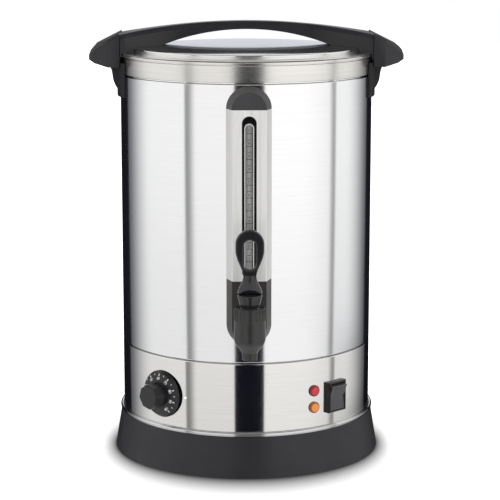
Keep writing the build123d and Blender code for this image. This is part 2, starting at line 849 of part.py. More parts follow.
def gauge_slot(radius, depth, mode, short=0.0):
    """A round-ended slot cut or filled from the channel's front, in the current part."""
    with BuildSketch(Plane.XZ.offset(gauge_front)) as slot:
        with Locations((0, slot_middle)):
            SlotOverall(slot_length - 2 * short, 2 * radius, rotation=90)
    extrude(slot.sketch, amount=-depth, mode=mode)


with BuildPart() as gauge_channel:
    root_y = -wall_reach(body_seat, channel_foot_half_width)
    with BuildSketch(Plane.XY.offset(channel_low)) as section:
        with BuildLine():
            Polyline(
                (-channel_foot_half_width, root_y),
                (-channel_half_width, -gauge_front),
                (channel_half_width, -gauge_front),
                (channel_foot_half_width, root_y),
                (channel_foot_half_width - 1.2 * channel_sheet, root_y),
                (channel_half_width - channel_sheet, -gauge_front + channel_sheet),
                (-channel_half_width + channel_sheet, -gauge_front + channel_sheet),
                (-channel_foot_half_width + 1.2 * channel_sheet, root_y),
                close=True,
            )
        make_face()
    extrude(section.sketch, amount=channel_high - channel_low)
    gauge_slot(slot_radius, 3 * channel_sheet, Mode.SUBTRACT)
save(gauge_channel, "gauge_channel")

liner_rim_radius = slot_radius - screw_gap
gauge_liner_depth = gauge_front - tube_reach + tube_radius + liner_gap + liner_back
with BuildPart() as gauge_liner:
    gauge_slot(liner_rim_radius, gauge_liner_depth, Mode.ADD, screw_gap)
    bay_radius = tube_radius + liner_gap
    gauge_slot(bay_radius, gauge_liner_depth - liner_back, Mode.SUBTRACT, slot_radius - bay_radius)
    tube_up(bay_radius, slot_bottom - 5, slot_top + 5, Mode.SUBTRACT, (0, -tube_reach))
    tube_up(body_seat, slot_bottom - 5, slot_top + 5, Mode.SUBTRACT)
save(gauge_liner, "gauge_liner")

with BuildPart() as sight_tube:
    tube_up(tube_radius, tube_bottom, tube_top, at=(0, -tube_reach))
    tube_up(tube_radius - tube_wall, tube_bottom, tube_top, Mode.SUBTRACT, (0, -tube_reach))
save(sight_tube, "sight_tube")

cap_round = cover_half_width
with BuildPart() as gauge_cap:
    with BuildSketch(Plane.XZ.offset(cover_root)) as cap_outline:
        with Locations((0, cap_bottom - cap_round)):
            Rectangle(2 * cover_half_width, 2 * cap_round)
        with Locations((0, cap_bottom)):
            Circle(cap_round)
    extrude(cap_outline.sketch, amount=flank_depth, taper=cover_taper)
    fillet(gauge_cap.faces().sort_by(Axis.Y)[0].edges(), radius=1.2)
    with BuildSketch(Plane.XZ.offset(cover_root)) as cap_hollow:
        with Locations((0, cap_bottom - cap_round)):
            Rectangle(2 * (cover_half_width - cover_wall), 2 * cap_round)
        with Locations((0, cap_bottom)):
            Circle(cap_round - cover_wall)
    extrude(cap_hollow.sketch, amount=flank_depth - cover_wall, taper=cover_taper, mode=Mode.SUBTRACT)
    block((-beyond, -beyond, cap_bottom - beyond), (beyond, 0, cap_bottom), Mode.SUBTRACT)
    tube_up(tube_radius + cap_socket_wall, cap_bottom, tube_top + 3, at=(0, -tube_reach))
    tube_up(tube_radius + 0.1, cap_bottom, tube_top + 0.5, Mode.SUBTRACT, (0, -tube_reach))
    tube_up(body_seat, 0, arch_top, Mode.SUBTRACT)
save(gauge_cap, "gauge_cap")

with BuildPart() as lower_shroud:
    shroud_middle = (shroud_top + 10 + shroud_round_level) / 2
    shroud_tall = shroud_top + 10 - shroud_round_level
    with BuildSketch(Plane.XZ.offset(cover_root)) as shroud_outline:
        with Locations((0, shroud_middle)):
            Rectangle(2 * cover_half_width, shroud_tall)
        with Locations((0, shroud_round_level)):
            Circle(cover_half_width)
    extrude(shroud_outline.sketch, amount=flank_depth, taper=cover_taper)
    with BuildSketch(Plane.XZ.offset(cover_root)) as shroud_hollow:
        with Locations((0, shroud_middle)):
            Rectangle(2 * (cover_half_width - cover_wall), shroud_tall)
        with Locations((0, shroud_round_level)):
            Circle(cover_half_width - cover_wall)
    extrude(shroud_hollow.sketch, amount=flank_depth - cover_wall, taper=cover_taper, mode=Mode.SUBTRACT)
    block((-beyond, -beyond, shroud_top), (beyond, 0, shroud_top + beyond), Mode.SUBTRACT)
    tube_up(body_seat, 0, arch_top, Mode.SUBTRACT)
    rod(panel(0, tap_level, body_radius), shank_radius + shank_clearance, 40, Mode.SUBTRACT)
save(lower_shroud, "lower_shroud")

# ---- tap ----------------------------------------------------------------------------------------
tap_at = (0, -tap_reach)
tap_front = Plane(origin=(0, -tap_reach, 0), x_dir=(1, 0, 0), z_dir=(0, -1, 0))
tap_axis = Axis((0, -tap_reach, 0), (0, 0, 1))
tap_flange = 3.0
tap_flange_radius = 13.5
washer = 2.0
shank_end = tank_radius - 11.5
seat_lip = 1.5
washer_radius = shank_radius + 6
rib_count = 22
gauge_port_radius = 2.5  # hole in the shank that feeds the sight tube


def turn_tap(points, mode=Mode.ADD):
    """Turn a closed outline of (radius, height) points round the tap's upright axis."""
    with BuildSketch(tap_front) as outline:
        with BuildLine():
            Polyline(*points, close=True)
        make_face()
    revolve(outline.sketch, axis=tap_axis, mode=mode)


with BuildPart() as tap_body:
    with BuildSketch(tap_front) as barrel:
        with BuildLine():
            Polyline(
                (0, barrel_top),
                (barrel_radius - 0.7, barrel_top),
                (barrel_radius, tap_level + 18),
                (barrel_radius + 0.3, tap_level + 1),
            )
            TangentArc(
                (barrel_radius + 0.3, tap_level + 1),
                (barrel_radius - 2.4, tap_level - 7),
                tangent=(0, -1),
            )
            Polyline(
                (barrel_radius - 2.4, tap_level - 7),
                (spout_radius + 0.4, tap_level - 14),
                (spout_radius, spout_bottom),
                (0, spout_bottom),
                (0, barrel_top),
            )
        make_face()
    revolve(barrel.sketch, axis=tap_axis)
    with BuildSketch(Plane.XY.offset(tap_level + 18)) as ribs:
        with Locations(tap_at):
            with PolarLocations(barrel_radius - 0.6, rib_count):
                Circle(1.1)
    extrude(ribs.sketch, amount=barrel_top - tap_level - 19)
    rod(panel(0, tap_level, shank_end), shank_radius, tap_reach - shank_end)
    rod(panel(0, tap_level, gauge_front + washer), tap_flange_radius, tap_flange)
    turn_tap(
        [
            (0, spout_bottom - 1),
            (spout_bore, spout_bottom - 1),
            (spout_bore, seat_level),
            (spout_bore + seat_lip, seat_level),
            (spout_bore + seat_lip, seat_level - seat_lip),
            (cavity_radius, seat_level - seat_lip),
            (cavity_radius, barrel_top + 1),
            (0, barrel_top + 1),
        ],
        Mode.SUBTRACT,
    )
    rod(panel(0, tap_level, shank_end - 1), shank_bore, tap_reach - shank_end - 7, Mode.SUBTRACT)
    tube_up(gauge_port_radius, tap_level, tap_level + shank_radius + 1, Mode.SUBTRACT, (0, -tube_reach))
save(tap_body, "tap_body")

washer_seat = wall_reach(tank_radius, washer_radius) - seat_gap
with BuildPart() as tap_washers:
    rod(panel(0, tap_level, gauge_front), tap_flange_radius - 1, washer)
    rod(panel(0, tap_level, washer_seat - washer), washer_radius, washer)
    rod(panel(0, tap_level, shank_end), shank_radius + shank_clearance, 50, Mode.SUBTRACT)
save(tap_washers, "tap_washers")

nut_height = 6.5
nut_half_flats = 12.0
with BuildPart() as tap_nut:
    with BuildSketch(panel(0, tap_level, washer_seat - washer - nut_height)) as nut_face:
        RegularPolygon(nut_half_flats, 6, major_radius=False)
        Circle(shank_radius + running_gap, mode=Mode.SUBTRACT)
    extrude(nut_face.sketch, amount=nut_height)
save(tap_nut, "tap_nut")

elbow_radius = 10.0
elbow_back = body_seat + 0.5
with BuildPart() as gauge_elbow:
    rod(panel(0, tap_level, elbow_back), elbow_radius, gauge_front - cover_wall - 0.2 - elbow_back)
    tube_up(tube_radius + 1.6, tap_level, elbow_socket_top, at=(0, -tube_reach))
    block((-beyond, -elbow_back, 0), (beyond, 0, elbow_socket_top + 1), Mode.SUBTRACT)
    elbow_front = gauge_front - cover_wall - 0.2
    block((-beyond, -beyond, 0), (beyond, -elbow_front, elbow_socket_top + 1), Mode.SUBTRACT)
    tube_up(tube_radius + 0.1, tube_bottom, elbow_socket_top + 1, Mode.SUBTRACT, (0, -tube_reach))
    tube_up(tube_radius - tube_wall, tap_level, tube_bottom, Mode.SUBTRACT, (0, -tube_reach))
    rod(panel(0, tap_level, elbow_back - 1), shank_radius + shank_clearance, 40, Mode.SUBTRACT)
save(gauge_elbow, "gauge_elbow")

bonnet_plug = 6.0
with BuildPart() as tap_bonnet:
    turn_tap(
        [
            (stem_radius + running_gap, barrel_top - bonnet_plug),
            (cavity_radius - 0.1, barrel_top - bonnet_plug),
            (cavity_radius - 0.1, barrel_top + seat_gap),
            (bonnet_radius - 3, barrel_top + seat_gap),
            (bonnet_radius - 1.6, barrel_top + 5),
            (bonnet_radius, bonnet_top - 3),
            (bonnet_radius, bonnet_top - 1.6),
            (cam_half_depth + 0.5, bonnet_top),
            (stem_radius + running_gap, bonnet_top),
        ]
    )
save(tap_bonnet, "tap_bonnet")

pin_level = bonnet_top + lever_gap + lever_pin_rise
eye_radius = 3.4
eye_half_width = 2.9
cup_radius = 8.4
cup_low = seat_level + lever_gap
with BuildPart() as tap_stem:
    tube_up(stem_radius, cup_low + 4, pin_level, at=tap_at)
    rod(Plane.YZ.offset(-eye_half_width), eye_radius, 2 * eye_half_width, at=(-tap_reach, pin_level))
    rod(Plane.YZ.offset(-10), lever_pin_radius + running_gap, 20, Mode.SUBTRACT, (-tap_reach, pin_level))
    for side in (-1, 1):
        low = min(side * eye_half_width, side * 10)
        high = low + 10 - eye_half_width
        block((low, -tap_reach - 5, bonnet_top), (high, -tap_reach + 5, pin_level + 5), Mode.SUBTRACT)
save(tap_stem, "tap_stem")

with BuildPart() as seat_cup:
    turn_tap(
        [
            (0, cup_low),
            (cup_radius, cup_low),
            (cup_radius, cup_low + 3),
            (stem_radius + 3, cup_low + 8),
            (stem_radius + 2, cup_low + 16),
            (stem_radius + running_gap, cup_low + 16),
            (stem_radius + running_gap, cup_low + 4 - seat_gap),
            (0, cup_low + 4 - seat_gap),
        ]
    )
save(seat_cup, "seat_cup")

hood_low = bonnet_top + lever_gap
loop_centre = loop_top - loop_radius
fork_half_width = eye_half_width + 0.3
with BuildPart() as tap_lever:
    with BuildSketch(tap_front.offset(-loop_thickness / 2)) as loop:
        with BuildLine():
            Polyline((-neck_radius, neck_level - 6), (neck_radius, neck_level - 6), (neck_radius, neck_level))
            Spline(
                (neck_radius, neck_level),
                (loop_radius, loop_centre - 4.5),
                tangents=((0.15, 1), (0, 1)),
            )
            Line((loop_radius, loop_centre - 4.5), (loop_radius, loop_centre))
            CenterArc((0, loop_centre), loop_radius, 0, 180)
            Line((-loop_radius, loop_centre), (-loop_radius, loop_centre - 4.5))
            Spline(
                (-loop_radius, loop_centre - 4.5),
                (-neck_radius, neck_level),
                tangents=((0, -1), (0.15, -1)),
            )
            Line((-neck_radius, neck_level), (-neck_radius, neck_level - 6))
        make_face()
    extrude(loop.sketch, amount=loop_thickness)
    with BuildSketch(tap_front.offset(-loop_thickness)) as finger_slot:
        with Locations((0, (loop_slot_top + loop_slot_bottom) / 2)):
            SlotOverall(loop_slot_top - loop_slot_bottom, 2 * loop_slot_radius, rotation=90)
    extrude(finger_slot.sketch, amount=2 * loop_thickness, mode=Mode.SUBTRACT)
    rim_edges = tap_lever.faces().filter_by(Axis.Y).edges().filter_by_position(Axis.Z, neck_level, loop_top)
    fillet(rim_edges, radius=1.6)
    with BuildSketch(tap_front) as hood:
        with BuildLine():
            Polyline((0, neck_level + 1), (0, hood_low), (hood_radius, hood_low))
            Spline(
                (hood_radius, hood_low),
                (neck_radius + 1.6, neck_level - 6),
                (neck_radius - 0.4, neck_level + 1),
                tangents=((-0.1, 1), (-0.3, 1)),
            )
            Line((neck_radius - 0.4, neck_level + 1), (0, neck_level + 1))
        make_face()
    revolve(hood.sketch, axis=tap_axis)
    with BuildSketch(Plane.YZ) as cam_relief:
        with BuildLine():
            Polyline(
                (-tap_reach - cam_half_depth, hood_low),
                (-tap_reach - 2 * hood_radius, hood_low + (2 * hood_radius - cam_half_depth)),
                (-tap_reach - 2 * hood_radius, hood_low - 1),
                (-tap_reach - cam_half_depth, hood_low - 1),
                close=True,
            )
        make_face()
    extrude(cam_relief.sketch, amount=20, both=True, mode=Mode.SUBTRACT)
    block(
        (-fork_half_width, -tap_reach - eye_radius - 3.5, hood_low - 1),
        (fork_half_width, -tap_reach + eye_radius + 3.5, pin_level + eye_radius + 2.5),
        Mode.SUBTRACT,
    )
    rod(Plane.YZ.offset(-20), lever_pin_radius + running_gap, 40, Mode.SUBTRACT, (-tap_reach, pin_level))
save(tap_lever, "tap_lever")

pin_half_length = hood_radius - 1.4
with BuildPart() as lever_pin:
    rod(Plane.YZ.offset(-pin_half_length), lever_pin_radius, 2 * pin_half_length, at=(-tap_reach, pin_level))
save(lever_pin, "lever_pin")

# ---- tube seals ---------------------------------------------------------------------------------
seal_ring_gap = 0.05
seal_ring_width = 1.2
seal_ring_height = 2.0
with BuildPart() as tube_seals:
    for low in (elbow_socket_top, cap_bottom - seal_ring_height):
        tube_up(tube_radius + seal_ring_width, low, low + seal_ring_height, at=(0, -tube_reach))
    tube_up(tube_radius + seal_ring_gap, tube_bottom, tube_top, Mode.SUBTRACT, (0, -tube_reach))
save(tube_seals, "tube_seals")

# ---- capillary of the thermostat ----------------------------------------------------------------
capillary_radius = 1.0
capillary_bend = 6.0
capillary_exit = panel(dial_azimuth, panel_level + 8, thermostat_front - 2 - thermostat_depth - seat_gap)
bulb_end = Vector(bulb_x, bulb_y - bulb_half_length - seat_gap, bulb_level)
with BuildPart() as capillary_tube:
    with BuildLine() as capillary_path:
        FilletPolyline(
            bulb_end,
            bulb_end + Vector(0, -8, 0),
            bulb_end + Vector(-3, -12, -16),
            capillary_exit.origin - capillary_exit.z_dir * 16,
            capillary_exit.origin,
            radius=capillary_bend,
        )
    with BuildSketch(Plane.XZ.offset(-bulb_end.Y)) as capillary_round:
        with Locations((bulb_x, bulb_level)):
            Circle(capillary_radius)
    sweep(capillary_round.sketch, path=capillary_path.line)
save(capillary_tube, "capillary_tube")

# ---- side handles -------------------------------------------------------------------------------
grip_root = turning_radius - 4.0
rib_root = body_radius - 1.0
handle_screw_reach = body_radius + 3.2
with BuildPart() as side_handle_right:
    with BuildSketch(Plane.XZ.offset(-grip_half_width)) as grip_outline:
        with BuildLine():
            Polyline(
                (grip_root, grip_top + 2.0),
                (handle_reach - 5.8, grip_top - 10.7),
                (handle_reach, grip_top - 17.0),
                (handle_reach, grip_top - 24.4),
                (handle_reach - 6.5, grip_top - 28.4),
                (handle_reach - 20.0, grip_low),
                (grip_root, grip_low),
                close=True,
            )
        make_face()
    extrude(grip_outline.sketch, amount=2 * grip_half_width)
    with BuildSketch(Plane.XY.offset(pad_top - pad_tall)) as grip_plan:
        with BuildLine():
            Polyline(
                (turning_radius - 8, -grip_half_width),
                (turning_radius + 8, -grip_half_width),
                (handle_reach, -grip_end_half_width),
                (handle_reach, grip_end_half_width),
                (turning_radius + 8, grip_half_width),
                (turning_radius - 8, grip_half_width),
                close=True,
            )
        make_face()
    extrude(grip_plan.sketch, amount=2 * pad_tall, mode=Mode.INTERSECT)
    outer_corners = side_handle_right.edges().filter_by(Axis.Z).group_by(Axis.X)[-1]
    fillet(outer_corners, radius=grip_corner)
    upper_faces = [face for face in side_handle_right.faces() if face.normal_at().Z > 0.3]
    upper_rim = ShapeList(edge for face in upper_faces for edge in face.edges()).filter_by(
        lambda edge: abs(edge.center().Y) > grip_end_half_width - 3 and edge.center().X > turning_radius - 3
    )
    chamfer(upper_rim, length=grip_bevel)
    with BuildSketch(Plane.XY.offset(pad_bottom)) as pad_ring:
        Circle(body_seat + pad_sheet)
        sector_x = 2 * body_radius * cos(radians(pad_half_angle))
        sector_y = 2 * body_radius * sin(radians(pad_half_angle))
        with BuildLine():
            Polyline((0, 0), (sector_x, -sector_y), (sector_x, sector_y), close=True)
        make_face(mode=Mode.INTERSECT)
    extrude(pad_ring.sketch, amount=pad_top - pad_bottom)
    with BuildSketch(Plane.XZ.offset(-rib_half_width)) as rib_outline:
        with BuildLine():
            Polyline((body_radius + 11.0, pad_top), (rib_root, pad_top), (rib_root, pad_top - 30.7))
            Spline(
                (rib_root, pad_top - 30.7),
                (body_radius + 4.0, pad_top - 24.7),
                (body_radius + 6.9, pad_top - 17.0),
                (body_radius + 8.4, pad_top - 8.0),
                (body_radius + 11.0, pad_top - 3.5),
            )
            Line((body_radius + 11.0, pad_top - 3.5), (body_radius + 11.0, pad_top))
        make_face()
    extrude(rib_outline.sketch, amount=2 * rib_half_width)
    with BuildSketch(Plane.XZ.offset(-finger_half_width)) as finger_pocket:
        with BuildLine():
            Polyline(
                (handle_reach - 20.0, grip_low - 5.0),
                (handle_reach - grip_wall, grip_low),
                (handle_reach - grip_wall, grip_low + 10.6),
                (handle_reach - grip_wall - 5.8, grip_low + 18.1),
                (handle_reach - 20.0, grip_low + 23.1),
                close=True,
            )
        make_face()
        fillet(finger_pocket.vertices().group_by(Axis.Z)[-1], radius=2.0)
    extrude(finger_pocket.sketch, amount=2 * finger_half_width, mode=Mode.SUBTRACT)
    tube_up(body_seat, 0, pad_top, Mode.SUBTRACT)
    tube_up(turning_radius, pad_top, 2 * pad_top, Mode.SUBTRACT)
    for side in (-1, 1):
        place = (side * handle_screw_spread, 0)
        rod(
            panel(90, handle_screw_height, inner_radius),
            screw_radius + screw_gap,
            handle_screw_reach + screw_gap - inner_radius,
            Mode.SUBTRACT,
            place,
        )
save(side_handle_right, "side_handle_right")

with BuildPart() as side_handle_left:
    mirror(side_handle_right.part, about=Plane.YZ)
save(side_handle_left, "side_handle_left")

handle_head_seat = wall_reach(inner_radius, handle_screw_spread + screw_head_radius) - seat_gap
with BuildPart() as handle_screws:
    for azimuth in (-90, 90):
        for side in (-1, 1):
            place = (side * handle_screw_spread, 0)
            head_back = handle_head_seat - screw_head
            screw_plane = panel(azimuth, handle_screw_height, head_back)
            rod(screw_plane, screw_head_radius, screw_head, at=place)
            rod(screw_plane, screw_radius, handle_screw_reach - head_back, at=place)
save(handle_screws, "handle_screws")

# ---- lid ----------------------------------------------------------------------------------------
lid_under = lid_top - lid_sheet
flange_top = rim_top + lid_sheet
arch_screw_radius = sqrt(arch_screw_reach**2 + arch_screw_spread**2)
arch_screw_seat = dome_level(arch_screw_radius + screw_head_radius) - lid_sheet
arch_screw_top = arch_screw_seat + arch_screw_length
arch_screw_places = [
    (x_side * arch_screw_reach, y_side * arch_screw_spread) for x_side in (-1, 1) for y_side in (-1, 1)
]
pan_inner = lid_raised_radius - lid_sheet
with BuildPart() as lid_pan:
    with BuildSketch(Plane.XZ) as pan_half:
        with BuildLine():
            lid_dome(-lid_sheet, pan_inner)
            Polyline(
                (pan_inner, dome_level(pan_inner) - lid_sheet),
                (pan_inner, rim_top),
                (lid_flange_radius, rim_top),
                (lid_flange_radius, flange_top),
                (lid_raised_radius, flange_top),
                (lid_raised_radius, lid_top),
            )
            lid_dome(0)
            Line((0, dome_level(0)), (0, dome_level(0) - lid_sheet))
        make_face()
    revolve(pan_half.sketch, axis=Axis.Z)
    shoulder_levels = (lid_under - lid_sheet, lid_top + lid_sheet)
    shoulder_edges = lid_pan.edges().filter_by(GeomType.CIRCLE).filter_by_position(Axis.Z, *shoulder_levels)
    fillet(shoulder_edges.sort_by(Axis.Z)[0], radius=lid_edge_round - lid_sheet)
    shoulder_edges = lid_pan.edges().filter_by(GeomType.CIRCLE).filter_by_position(Axis.Z, *shoulder_levels)
    fillet(shoulder_edges.sort_by(Axis.Z)[-1], radius=lid_edge_round)
    for place in arch_screw_places:
        tube_up(screw_radius + screw_gap, lid_under, dome_level(0), Mode.SUBTRACT, place)
save(lid_pan, "lid_pan")

bead_top = seal_low - seal_gap
with BuildPart() as lid_liner:
    turn(
        [
            (0, liner_floor),
            (liner_radius, liner_floor),
            (liner_radius, bead_top - lid_sheet),
            (liner_radius + liner_bead, bead_top - lid_sheet),
            (liner_radius + liner_bead, bead_top),
            (liner_radius, bead_top),
            (liner_radius, rim_top),
            (liner_radius - lid_sheet, rim_top),
            (liner_radius - lid_sheet, liner_floor + lid_sheet),
            (0, liner_floor + lid_sheet),
        ]
    )
save(lid_liner, "lid_liner")

with BuildPart() as lid_seal:
    turn(
        [
            (liner_radius + seal_gap, seal_low),
            (tank_radius - seal_gap, seal_low),
            (tank_radius - seal_gap, seal_low + seal_height),
            (liner_radius + seal_gap, seal_low + seal_height),
        ]
    )
    fillet(widest_edges(lid_seal), radius=0.4)
save(lid_seal, "lid_seal")

# ---- arch handle --------------------------------------------------------------------------------
upper_arc = arc_radius(shoulder_radius, arch_end_drop)
under_arc = arc_radius(arch_foot_reach, arch_under - lid_top)
shoulder_x = shoulder_radius - 9.2
with BuildPart() as lid_handle:
    with BuildSketch(Plane.XZ.offset(-2 * shoulder_half_width)) as arch_side:
        with Locations((0, arch_top - upper_arc)):
            Circle(upper_arc)
        with Locations((0, arch_under - under_arc)):
            Circle(under_arc, mode=Mode.SUBTRACT)
        with Locations((0, (arch_top + lug_bottom) / 2)):
            Rectangle(2 * shoulder_radius + 10, arch_top - lug_bottom, mode=Mode.INTERSECT)
        for side in (-1, 1):
            with Locations((side * shoulder_radius, (lid_top + lug_bottom) / 2)):
                Rectangle(2 * (shoulder_radius - arch_foot_reach), lid_top - lug_bottom)
    extrude(arch_side.sketch, amount=4 * shoulder_half_width)
    with BuildSketch(Plane.XY.offset(lug_bottom)) as arch_plan:
        with BuildLine():
            Line((0, -arch_half_width), (arch_flare_start, -arch_half_width))
            flare_start = (arch_flare_start, -arch_half_width)
            TangentArc(flare_start, (shoulder_x, -shoulder_half_width), tangent=(1, 0))
            Polyline(
                (shoulder_x, -shoulder_half_width),
                (shoulder_x + 36.0, -shoulder_half_width - 6),
                (shoulder_x + 36.0, shoulder_half_width + 6),
                (shoulder_x, shoulder_half_width),
            )
            TangentArc((arch_flare_start, arch_half_width), (shoulder_x, shoulder_half_width), tangent=(1, 0))
            Polyline((arch_flare_start, arch_half_width), (0, arch_half_width), (0, -arch_half_width))
        make_face()
        mirror(about=Plane.YZ)
    extrude(arch_plan.sketch, amount=arch_top - lug_bottom, mode=Mode.INTERSECT)
    arch_crown = lid_handle.faces().filter_by(GeomType.CYLINDER).sort_by(Axis.Z)[-1]
    arch_rim = arch_crown.edges().filter_by(lambda edge: abs(edge.center().X) < shoulder_radius)
    chamfer(arch_rim, length=arch_bevel)
    with BuildSketch(Plane.XY.offset(lug_bottom)) as arch_ends:
        Circle(shoulder_radius)
    extrude(arch_ends.sketch, amount=arch_top - lug_bottom, mode=Mode.INTERSECT)
    tube_up(lid_raised_radius + raised_gap, 0, lid_top, Mode.SUBTRACT)
    with BuildSketch(Plane.XZ) as dome_half:
        with BuildLine():
            lid_dome(seat_gap)
            Polyline((0, dome_level(0) + seat_gap), (0, 0), (lid_raised_radius, 0))
            Line((lid_raised_radius, 0), (lid_raised_radius, lid_top + seat_gap))
        make_face()
    revolve(dome_half.sketch, axis=Axis.Z, mode=Mode.SUBTRACT)
    tube_up(skirt_inner, 0, flange_top, Mode.SUBTRACT)
    for side in (-1, 1):
        low = min(side * lug_half_width, side * beyond)
        block(
            (-beyond, low, lug_bottom - 1),
            (beyond, low + beyond - lug_half_width, shoulder_bottom),
            Mode.SUBTRACT,
        )
    for place in arch_screw_places:
        tube_up(screw_radius + screw_gap, lid_top - 1, arch_screw_top + screw_gap, Mode.SUBTRACT, place)
save(lid_handle, "lid_handle")

with BuildPart() as lid_handle_screws:
    for place in arch_screw_places:
        tube_up(screw_head_radius, arch_screw_seat - screw_head, arch_screw_seat, at=place)
        tube_up(screw_radius, arch_screw_seat - screw_head, arch_screw_top, at=place)
save(lid_handle_screws, "lid_handle_screws")
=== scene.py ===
# %% [markdown]
# # A countertop hot water urn
# The urn is a double-walled steel vessel on a plastic base. It has a twist-off lid with an
# arched handle, two side handles, a sight gauge, a draw-off tap and a small control panel.
# The construction comes in as a fixed frame, and this file dresses it: every visible piece gets
# either a finer mesh in the same place or a finish of its own.

# %% The frame
from math import atan2, cos, degrees, pi, radians, sin, sqrt, tan

import bmesh
import bpy
from mathutils import Matrix, Vector


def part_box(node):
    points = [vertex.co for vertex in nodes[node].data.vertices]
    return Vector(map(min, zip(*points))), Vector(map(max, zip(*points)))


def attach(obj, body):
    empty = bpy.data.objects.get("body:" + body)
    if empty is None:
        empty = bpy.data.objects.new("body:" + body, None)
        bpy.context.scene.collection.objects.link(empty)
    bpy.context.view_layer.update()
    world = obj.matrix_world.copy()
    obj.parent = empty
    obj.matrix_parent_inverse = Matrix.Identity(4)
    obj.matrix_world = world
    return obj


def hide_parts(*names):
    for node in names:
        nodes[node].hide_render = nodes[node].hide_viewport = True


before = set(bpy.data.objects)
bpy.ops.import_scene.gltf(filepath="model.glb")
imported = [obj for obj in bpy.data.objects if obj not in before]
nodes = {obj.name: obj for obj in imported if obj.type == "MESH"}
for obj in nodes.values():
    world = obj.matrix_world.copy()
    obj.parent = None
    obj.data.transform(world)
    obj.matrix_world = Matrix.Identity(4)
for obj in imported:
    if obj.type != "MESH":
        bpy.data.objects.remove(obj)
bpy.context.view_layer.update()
scene = bpy.context.scene
MM = 0.001

# %% [markdown]
# ## The camera
# A product picture is taken from a little above the table with a long lens, so that the upright
# lines stay nearly parallel. The camera could be aimed with a constraint, but a plain heading and
# pitch are easier to check, so its place and turn are worked out from them.

# %% The camera
def placed(name, data):
    """A new object with this data, linked into the scene."""
    made = bpy.data.objects.new(name, data)
    scene.collection.objects.link(made)
    return made


camera_heading = radians(1.2)  # how far the camera stands to the left of the urn's front
camera_distance = 1918.8 * MM
camera_height = 561.1 * MM
camera_pitch = radians(10.42)
camera_yaw = radians(0.12)
picture_size = 500
focal_pixels = 1850
sensor = 36.0

camera_data = bpy.data.cameras.new("camera")
camera_data.sensor_width = sensor
camera_data.lens = focal_pixels * sensor / picture_size
camera_data.clip_end = 30.0
camera = placed("camera", camera_data)
camera.location = (
    -camera_distance * sin(camera_heading),
    -camera_distance * cos(camera_heading),
    camera_height,
)
camera.rotation_euler = (pi / 2 - camera_pitch, 0, -camera_heading - camera_yaw)
scene.camera = camera
print("camera: lens", round(camera_data.lens, 1), "mm")

# %% [markdown]
# ## Small helpers for node trees
# Every finish below is a node tree. Short helpers keep those trees readable: one adds a node with
# its settings, one starts a node group, one starts a finish, and the others each stand for a step
# that the finishes share, such as a sum, a held range or a blend of two colours.


# %% Helpers for nodes
def add(tree, kind, inputs=(), **settings):
    """A new shader node. inputs maps its sockets to a value or to the socket that feeds them."""
    node = tree.nodes.new("ShaderNode" + kind)
    for key, value in settings.items():
        setattr(node, key, value)
    for key, value in dict(inputs).items():
        if isinstance(value, bpy.types.NodeSocket):
            tree.links.new(value, node.inputs[key])
        else:
            node.inputs[key].default_value = value
    return node


def new_group(name, inputs, outputs):
    """A node group with named sockets, its input node and its output node."""
    tree = bpy.data.node_groups.new(name, "ShaderNodeTree")
    for label, (kind, value) in inputs.items():
        socket = tree.interface.new_socket(name=label, in_out="INPUT", socket_type="NodeSocket" + kind)
        socket.default_value = value
    for label, kind in outputs.items():
        tree.interface.new_socket(name=label, in_out="OUTPUT", socket_type="NodeSocket" + kind)
    return tree, tree.nodes.new("NodeGroupInput").outputs, tree.nodes.new("NodeGroupOutput").inputs


def calc(tree, operation, first, second=0.0, third=0.0, clamp=False):
    """One arithmetic node; its result."""
    node = add(tree, "Math", {0: first, 1: second, 2: third}, operation=operation, use_clamp=clamp)
    return node.outputs[0]


def spread(tree, value, low, high, to_low=0.0, to_high=1.0, smooth=False):
    """Value mapped from low..high to another range, held at the ends."""
    node = add(tree, "MapRange", {0: value, 1: low, 2: high, 3: to_low, 4: to_high})
    node.interpolation_type = "SMOOTHSTEP" if smooth else "LINEAR"
    return node.outputs[0]


def blend_colours(tree, share, first, second, how="MIX"):
    """Two colours mixed by a share."""
    node = add(tree, "Mix", data_type="RGBA", blend_type=how)
    for socket, value in (("Factor_Float", share), ("A_Color", first), ("B_Color", second)):
        target = next(s for s in node.inputs if s.identifier == socket)
        if isinstance(value, bpy.types.NodeSocket):
            tree.links.new(value, target)
        else:
            target.default_value = value
    return next(s for s in node.outputs if s.identifier == "Result_Color")


def grey(tone, warmth=0.0):
    """A neutral colour, a little warmer or cooler."""
    return (tone * (1 + warmth), tone, tone * (1 - warmth), 1.0)


def tinted(colour, share=1.0):
    """A colour made darker or lighter by a share, with full opacity."""
    return tuple(c * share for c in colour) + (1.0,)


def own_place(tree):
    """Where a point lies in its object's own metres."""
    return add(tree, "TexCoord").outputs["Object"]


finishes = {}


def finish(name, **sockets):
    """A new finish with plain values on its shader; its node tree and the shader's inputs."""
    made = bpy.data.materials.new(name)
    made.use_nodes = True
    shader = made.node_tree.nodes["Principled BSDF"]
    for key, value in sockets.items():
        shader.inputs[key.replace("_", " ")].default_value = value
    finishes[name] = made
    return made.node_tree, shader.inputs


# %% [markdown]
# ## The studio
# Bright steel shows little but its surroundings, so the studio matters as much as the metal. It
# could be a picture wrapped round the scene, but a ring of soft boxes with dark flags between
# them is what a photographer builds, and it stays put when the view moves. Here the ring is one
# tall cylinder that only reflections see, and a loop hangs each flag on it at its own bearing.

# %% The ring of soft boxes
ring_radius = 1.6
ring_low, ring_high = -1.4, 3.0
ceiling_height, cloth_tone = 2.2, 0.13
soft_box = (1.0, 1.0, 1.0, 1.0)
